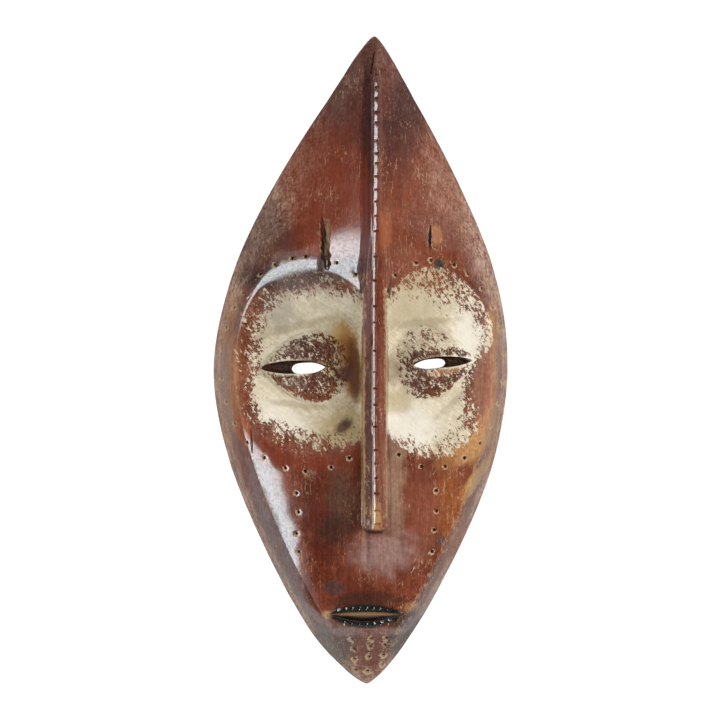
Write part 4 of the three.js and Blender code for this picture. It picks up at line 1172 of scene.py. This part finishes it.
# Where the white clay still covers, by direction from the middle of the socket, in degrees from the side of
# the nose: how full it is at its edge, how far out it is solid and where it ends
clay = {
    "left": {
        "angle": (0, 45, 62, 90, 115, 128, 141, 160, 180, 205, 225, 240, 270, 290, 312, 360),
        "edge": (0.6, 0.6, 0.42, 0.32, 0.28, 0.28, 0.34, 0.22, 0.18, 0.20, 0.26, 0.28, 0.32, 0.40, 0.6, 0.6),
        "solid": (1.05, 0.90, 0.80, 0.71, 0.735, 0.68, 0.72, 0.63, 0.63, 0.74, 0.80, 0.71, 0.68, 0.76,
                 0.93, 1.05),
        "fade": (1.15, 1.00, 0.97, 0.95, 0.93, 0.96, 1.0, 0.97, 0.96, 0.97, 0.96, 0.93, 0.93, 0.95, 1.04,
                1.15),
    },
    "right": {
        "angle": (0, 47, 75, 95, 115, 133, 157, 168, 176, 190, 200, 210, 225, 245, 270, 290, 318, 360),
        "edge": (0.7, 0.6, 0.6, 0.55, 0.52, 0.5, 0.6, 0.5, 0.25, 0.12, 0.12, 0.2, 0.5, 0.66, 0.7, 0.7, 0.7,
                0.7),
        "solid": (1.05, 0.94, 0.74, 0.62, 0.60, 0.72, 0.80, 0.74, 0.62, 0.55, 0.55, 0.55, 0.62, 0.72, 0.76,
                 0.84, 1.0, 1.08),
        "fade": (1.15, 1.02, 1.02, 1.02, 1.00, 1.02, 1.02, 0.95, 0.84, 0.74, 0.74, 0.90, 1.00, 0.99, 0.98,
                0.99, 1.04, 1.15),
    },
}
# how full it is on the left lids: towards the nose, away from it, in the corner by the nose and along the
# upper rim; and on the right ones: below the slit, above it and in the corner by the nose
lidClay = {"left": (0.26, 0.27, 0.78, 0.45), "right": (0.31, 0.58, 0.60)}
clayForm = {
    "middle": 0.96, "borderLeast": 0.45, "borderByEdge": 0.45, "borderWide": 0.10,
    "outside": 0.8, "outsideBy": 0.6, "beforeEnd": 0.02, "pastEnd": 0.05, "lidEdge": (0.86, 1.0),
    # on the lids: from where to where one amount goes over into the next
    "outer": (-6, 10), "corner": {"left": (14, 25), "right": (10, 22)},
    "rimFrom": (0.55, 0.9), "rimAbove": (0, 6), "aboveSlit": (3.5, 9),
}
# for the masks that the finishes read, in millimetres where they are lengths
masks = {
    "hollowNear": 0.6, "hollowBelow": 3.0, "rimHigh": 0.05, "noseBeside": 1.0, "noseUnder": 0.8,
    # bend: how far the surface stands out beside what is round it
    "bendAcross": 1.2, "bendPoints": 8, "wornBend": (0.10, 0.45), "cavityBend": (0.12, 0.6),
    "offRim": (1.5, 6), "besideRib": (0.3, 6), "besideRibY": (40, 60), "wornOnRib": 0.7,
    "cavityInClay": 0.8, "cavityByNose": 0.6, "byNose": 2.5,
    "flankHigh": (14, 34), "flankOnHead": 0.55, "flankHeadY": (85, 130),
    # the left brow is polished along its edge and dull above it, as is the head above
    "browEnd": (1.025, 1.055), "browEndY": (8, 50), "browFade": 0.03, "browY": (2, 14), "browX": (-21, -17),
    "dull": 0.96, "dullHeadY": (62, 75), "dullHeadX": 5.0,
    "bandAt": 1.04, "bandWide": 0.06, "bandY": (-4, 12), "bandFromRidge": 4,
    "pitDeep": (0.25, 1.2), "pitMost": 12,
    "socketEnd": (1.09, 0.985), "socketEndY": (-22, 8), "socketFade": 0.065,
    "slitBlack": (0.97, 0.62), "slitAlong": (6, 22), "slitDark": (1.0, 4.0),
    "slitBare": 0.75, "slitBareDeep": (0.8, 3.0),
    "crease": 0.8, "creaseOut": 0.3, "creaseWide": 0.7, "creaseFrom": (-4, 8), "creaseTo": (22, 25),
    "sharpAngle": 48,
}


def clayCover(x, y, side):
    socket, eye, extent, form = sockets[side], eyes[side], clay[side], clayForm
    reach = socketReach(x, y, socket)
    up, inward = (y - socket["y"]) / socket["halfY"], -(x - socket["x"]) / socket["halfX"] * socket["side"]
    angle = np.degrees(np.arctan2(up, inward)) % 360
    solid, fade, edge = [np.interp(angle, extent["angle"], extent[k]) for k in ("solid", "fade", "edge")]
    border = form["borderLeast"] + form["borderByEdge"] * edge
    within = mix(form["middle"], border, smooth(reach, solid - form["borderWide"], solid))
    beyond = mix(border, edge * form["outside"], smooth(reach, solid, mix(solid, fade, form["outsideBy"])))
    gone = smooth(reach, fade - form["beforeEnd"], fade + form["pastEnd"])
    cover = np.where(reach < solid, within, beyond) * (1 - gone)
    along, across = eyeCoordinates(x, y, eye)
    lid = eyeReach(x, y, eye)
    inCorner = smooth(-along, *form["corner"][side])
    if side == "left":
        inner, outer, corner, rim = lidClay[side]
        lidCover = mix(mix(inner, outer, smooth(along, *form["outer"])), corner, inCorner)
        lidCover = mix(lidCover, rim, smooth(lid, *form["rimFrom"]) * smooth(across, *form["rimAbove"]))
    else:
        low, high, corner = lidClay[side]
        lidCover = mix(mix(low, high, smooth(across, *form["aboveSlit"])), corner, inCorner)
    return mix(cover, lidCover, 1 - smooth(lid, *form["lidEdge"]))


def dotMasks(x, y):                      # what is left in the low side of each dot, and pale wear round it
    fill, brim = np.zeros(len(x)), np.zeros(len(x))
    for i, (dotX, dotY) in enumerate(dotSpots()):
        off = np.hypot(x - dotX, y - dotY) / dots["radius"]
        lean = math.radians(dots["lowSide"] + dots["lowSway"] * math.sin(i * dots["swayStep"]))
        low = ((x - dotX) * math.cos(lean) + (y - dotY) * math.sin(lean)) / dots["radius"]
        here = smooth(low, *dots["leftFrom"]) * (off < dots["leftWithin"])
        fill = np.maximum(fill, here * (1 - smooth(off, *dots["leftTo"])))
        wide, cover = dots["paleOnChin"] if dotY < mouth["y"] else dots["pale"]
        cover = cover * (1 + dots["paleSway"] * math.sin(i * dots["paleStep"]))
        cover = cover * (1 + dots["paleLow"] * np.tanh(low))
        cover = cover * (off > dots["bareWithin"])
        brim = np.maximum(brim, cover * (1 - smooth(off, dots["paleFrom"], wide)))
    return fill, brim


def mouthMasks(x, y):                    # the blackened lips, and the bare wood under the upper one
    t, across, gap = mouthPlace(x, y)
    onLips = (1 - smooth(np.abs(t), 0.85, 1.02)) * smooth(gap, -0.6, 0.2)
    onLips = onLips * (1 - smooth(gap - lipWidth(t, across), -0.6, 0.7))
    inMouth = (np.abs(t) < 1) & (gap < -0.2)
    bare = inMouth * smooth(across / (mouth["up"] * roomAt(t)), -1.1, -0.5)
    return np.maximum(onLips, inMouth * (1 - bare)), bare


def markPoints(piece):                   # masks at the points of the front, for the finishes
    co = np.empty(len(piece.data.vertices) * 3)
    piece.data.vertices.foreach_get("co", co)
    x, y, z = (co.reshape(-1, 3) * 1000).T
    top = frontHeight(x, y)
    below = top - z
    inside = (z < backHeight(x, y) + masks["hollowNear"]) & (below > masks["hollowBelow"])
    besideNose = np.abs(x - mask["ridgeX"]) < noseHalf(y) + masks["noseBeside"]
    onNose = besideNose & (z > noseSurface(x, y) - masks["noseUnder"])
    cover = np.where(x < mask["ridgeX"], clayCover(x, y, "left"), clayCover(x, y, "right")) * ~onNose
    angles = np.arange(masks["bendPoints"]) * 2 * math.pi / masks["bendPoints"]
    ring = [(masks["bendAcross"] * math.cos(a), masks["bendAcross"] * math.sin(a)) for a in angles]
    bend = top - sum(frontHeight(x + dx, y + dy) for dx, dy in ring) / len(ring)
    plain = smooth(plainFace(x, y), *masks["offRim"])
    besideRib = mix(*masks["besideRib"], smooth(y, *masks["besideRibY"]))
    onRib = np.abs(x - ribX(y)) < ribHalf(y) + besideRib
    worn = smooth(bend, *masks["wornBend"]) * plain * (1 - masks["wornOnRib"] * onRib)
    nearNose = np.abs(np.abs(x - noseX(y)) - noseHalf(y)) < masks["byNose"]
    clean = (1 - masks["cavityInClay"] * np.minimum(1, cover)) * (1 - masks["cavityByNose"] * nearNose)
    cavity = smooth(-bend, *masks["cavityBend"]) * plain * clean
    # the low sides: paler in colour, for dust and a painted sheen, and less polished
    flank = 1 - smooth(plainFace(x, y), *masks["flankHigh"])
    flank = flank * (1 - masks["flankOnHead"] * smooth(y, *masks["flankHeadY"]))
    browReach = socketReach(x, y, sockets["left"])
    browEnd = mix(*masks["browEnd"], smooth(y, *masks["browEndY"]))
    aboveBrow = smooth(browReach, browEnd, browEnd + masks["browFade"]) * smooth(y, *masks["browY"])
    aboveBrow = aboveBrow * (1 - smooth(x, *masks["browX"]))
    onHead = smooth(y, *masks["dullHeadY"]) * (x < masks["dullHeadX"])
    dulled = masks["dull"] * np.maximum(aboveBrow, onHead)
    browBand = hump(browReach, masks["bandAt"], masks["bandWide"]) * smooth(y, *masks["bandY"])
    browBand = browBand * (x < mask["ridgeX"] - masks["bandFromRidge"])
    flank, worn = flank * (1 - browBand), worn * (1 - browBand)
    pit = smooth(below, *masks["pitDeep"]) * (below < masks["pitMost"])
    fill, brim = dotMasks(x, y)
    lip, bare = mouthMasks(x, y)
    fill = np.maximum(fill, bare)
    socketed = np.zeros(len(x))
    for side, k in sockets.items():
        border = mix(*masks["socketEnd"], smooth(y - k["y"], *masks["socketEndY"]))
        within = 1 - smooth(socketReach(x, y, k), border - masks["socketFade"], border)
        socketed = np.maximum(socketed, within * ~onNose)
        slit = slitDepth(x, y, eyes[side])
        along = eyeCoordinates(x, y, eyes[side])[0]
        black = mix(*masks["slitBlack"], smooth(along, *masks["slitAlong"]))
        pit = np.maximum(pit, black * smooth(slit, *masks["slitDark"]))
        cover = cover * (1 - masks["slitBare"] * smooth(slit, *masks["slitBareDeep"]))
        off, half = slitPlace(x, y, eyes[side])[1:]
        reaches = smooth(along, *masks["creaseFrom"]) * (1 - smooth(along, *masks["creaseTo"]))
        crease = hump(off - half, masks["creaseOut"], masks["creaseWide"]) * reaches
        cover = np.maximum(cover, masks["crease"] * crease)
    for name, values in zip(maskNames, (cover, pit, fill, lip, worn, cavity, socketed, flank, brim, dulled)):
        values = np.where(inside, 0, values).astype(np.float32)
        piece.data.attributes.new(name, "FLOAT", "POINT").data.foreach_set("value", values)
    return inside | (z < masks["rimHigh"])       # the hollow and the rim, which are left raw


def finishFaces(piece, raw):             # the raw finish goes on faces that are raw at every corner
    mesh = piece.data
    mesh.materials.clear()
    for finish in (woodMaterial, hollowMaterial):
        mesh.materials.append(finish)
    corners, starts = np.empty(len(mesh.loops), int), np.empty(len(mesh.polygons), int)
    mesh.loops.foreach_get("vertex_index", corners)
    mesh.polygons.foreach_get("loop_start", starts)
    rawFaces = np.minimum.reduceat(raw[corners].astype(int), starts)
    mesh.polygons.foreach_set("material_index", rawFaces.astype(np.int32))
    mesh.shade_smooth()
    mesh.set_sharp_from_angle(angle=math.radians(masks["sharpAngle"]))


eyeHoles = eyeHoleCutter()
opening = maskPiece.modifiers.new("eyeHoles", "BOOLEAN")
opening.operation = "DIFFERENCE"
opening.object = eyeHoles
opening.solver = "MANIFOLD"
cutting = cutterTree()
dotPlaces, notchPlaces = placesOf("dotPlaces", dotRows()), placesOf("notchPlaces", notchRows())
addCuts(maskPiece, cutting, notchPlaces, notches)
addCuts(maskPiece, cutting, dotPlaces, dots)
plainMesh(maskPiece)
for thing in (eyeHoles, dotPlaces, notchPlaces):
    bpy.data.objects.remove(thing)
finishFaces(maskPiece, markPoints(maskPiece))
print("mask cut", len(maskPiece.data.vertices), "points", len(maskPiece.data.polygons), "faces")

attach(maskPiece, "root")
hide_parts("mask")

# Floor, lights and camera
studio = {
    "frameWide": 0.4006, "cameraHigh": 2.4, "sensor": 36, "floorHalf": 2.5,
    "key": {"at": (-1.11, -0.05, 1.08), "size": (2.25, 0.88), "power": 13.0, "inGloss": False},
    # this one is seen in the polish alone
    "keyShine": {"at": (-1.085, 0.35, 0.755), "size": (3.4, 1.13), "power": 92.0, "inDiffuse": False,
                 "aimY": 0.35, "tint": (0.86, 0.96, 1.0)},
    "fill": {"at": (1.4, 0.1, 1.4), "size": (1.6, 1.6), "power": 44.0, "inGloss": False},
    "glow": {"at": (1.3, 0.0, 1.2), "size": (2.6, 1.3), "power": 1.4},
    "aimZ": 0.04, "world": 0.22, "worldInGloss": 0.03,
    "floorShine": 1.1, "floorInGloss": 0.16, "floorColour": 0.06,
}


def byRay(tree, ray, others, own):       # a value for one kind of ray, and another for all others
    rays = tree.nodes.new("ShaderNodeLightPath").outputs
    feeds = {"Value": rays[ray], "To Min": others, "To Max": own}
    return addNode(tree, "ShaderNodeMapRange", feeds)["Result"]


def paleFloor():                         # white where it is looked at, dimmer where it lights the mask
    material = bpy.data.materials.new("paleFloor")
    material.use_nodes = True
    tree = material.node_tree
    ground = tree.nodes["Principled BSDF"]
    ground.inputs["Base Color"].default_value = (*[studio["floorColour"]] * 3, 1)
    ground.inputs["Roughness"].default_value = 0.9
    ground.inputs["Emission Color"].default_value = (1, 1, 1, 1)
    lighting = byRay(tree, "Is Glossy Ray", studio["floorShine"], studio["floorInGloss"])
    feed(ground.inputs["Emission Strength"], byRay(tree, "Is Camera Ray", lighting, 1.0))
    fromBelow = tree.nodes.new("ShaderNodeNewGeometry").outputs["Backfacing"]
    seeThrough = tree.nodes.new("ShaderNodeBsdfTransparent").outputs[0]
    either = addNode(tree, "ShaderNodeMixShader", {0: fromBelow, 1: ground.outputs[0], 2: seeThrough})
    feed(tree.nodes["Material Output"].inputs["Surface"], either[0])
    return material


floorMesh = bpy.data.meshes.new("floor")
floorHalf = studio["floorHalf"]
floorCorners = [(sx * floorHalf, sy * floorHalf, 0) for sx, sy in ((-1, -1), (1, -1), (1, 1), (-1, 1))]
floorMesh.from_pydata(floorCorners, [], [(0, 1, 2, 3)])
floorMesh.materials.append(paleFloor())
putInScene("floor", floorMesh)


def softBox(name, at, size, power, aimY=0.0, tint=(1.0, 1.0, 1.0), inGloss=True, inDiffuse=True):
    data = bpy.data.lights.new(name, "AREA")
    data.shape = "RECTANGLE"
    data.size, data.size_y = size
    data.energy = power
    data.color = tint
    lamp = putInScene(name, data)
    lamp.location = at
    aim = Vector((0, aimY, studio["aimZ"])) - Vector(at)
    lamp.rotation_euler = aim.to_track_quat("-Z", "Y").to_euler()
    lamp.visible_glossy = inGloss
    lamp.visible_diffuse = inDiffuse


for lampName in ("key", "keyShine", "fill", "glow"):
    softBox(lampName + "Box", **studio[lampName])
world = bpy.data.worlds.new("studioAir")
world.use_nodes = True
air = world.node_tree.nodes["Background"].inputs
air["Color"].default_value = (1, 1, 1, 1)
feed(air["Strength"], byRay(world.node_tree, "Is Glossy Ray", studio["world"], studio["worldInGloss"]))
bpy.context.scene.world = world

cameraData = bpy.data.cameras.new("camera")
cameraData.sensor_width = studio["sensor"]
cameraData.lens = studio["sensor"] * studio["cameraHigh"] / studio["frameWide"]
cameraData.clip_end = 20
camera = putInScene("camera", cameraData)
camera.location = (0, 0, studio["cameraHigh"])
bpy.context.scene.camera = camera
bpy.context.scene.view_settings.view_transform = "Standard"
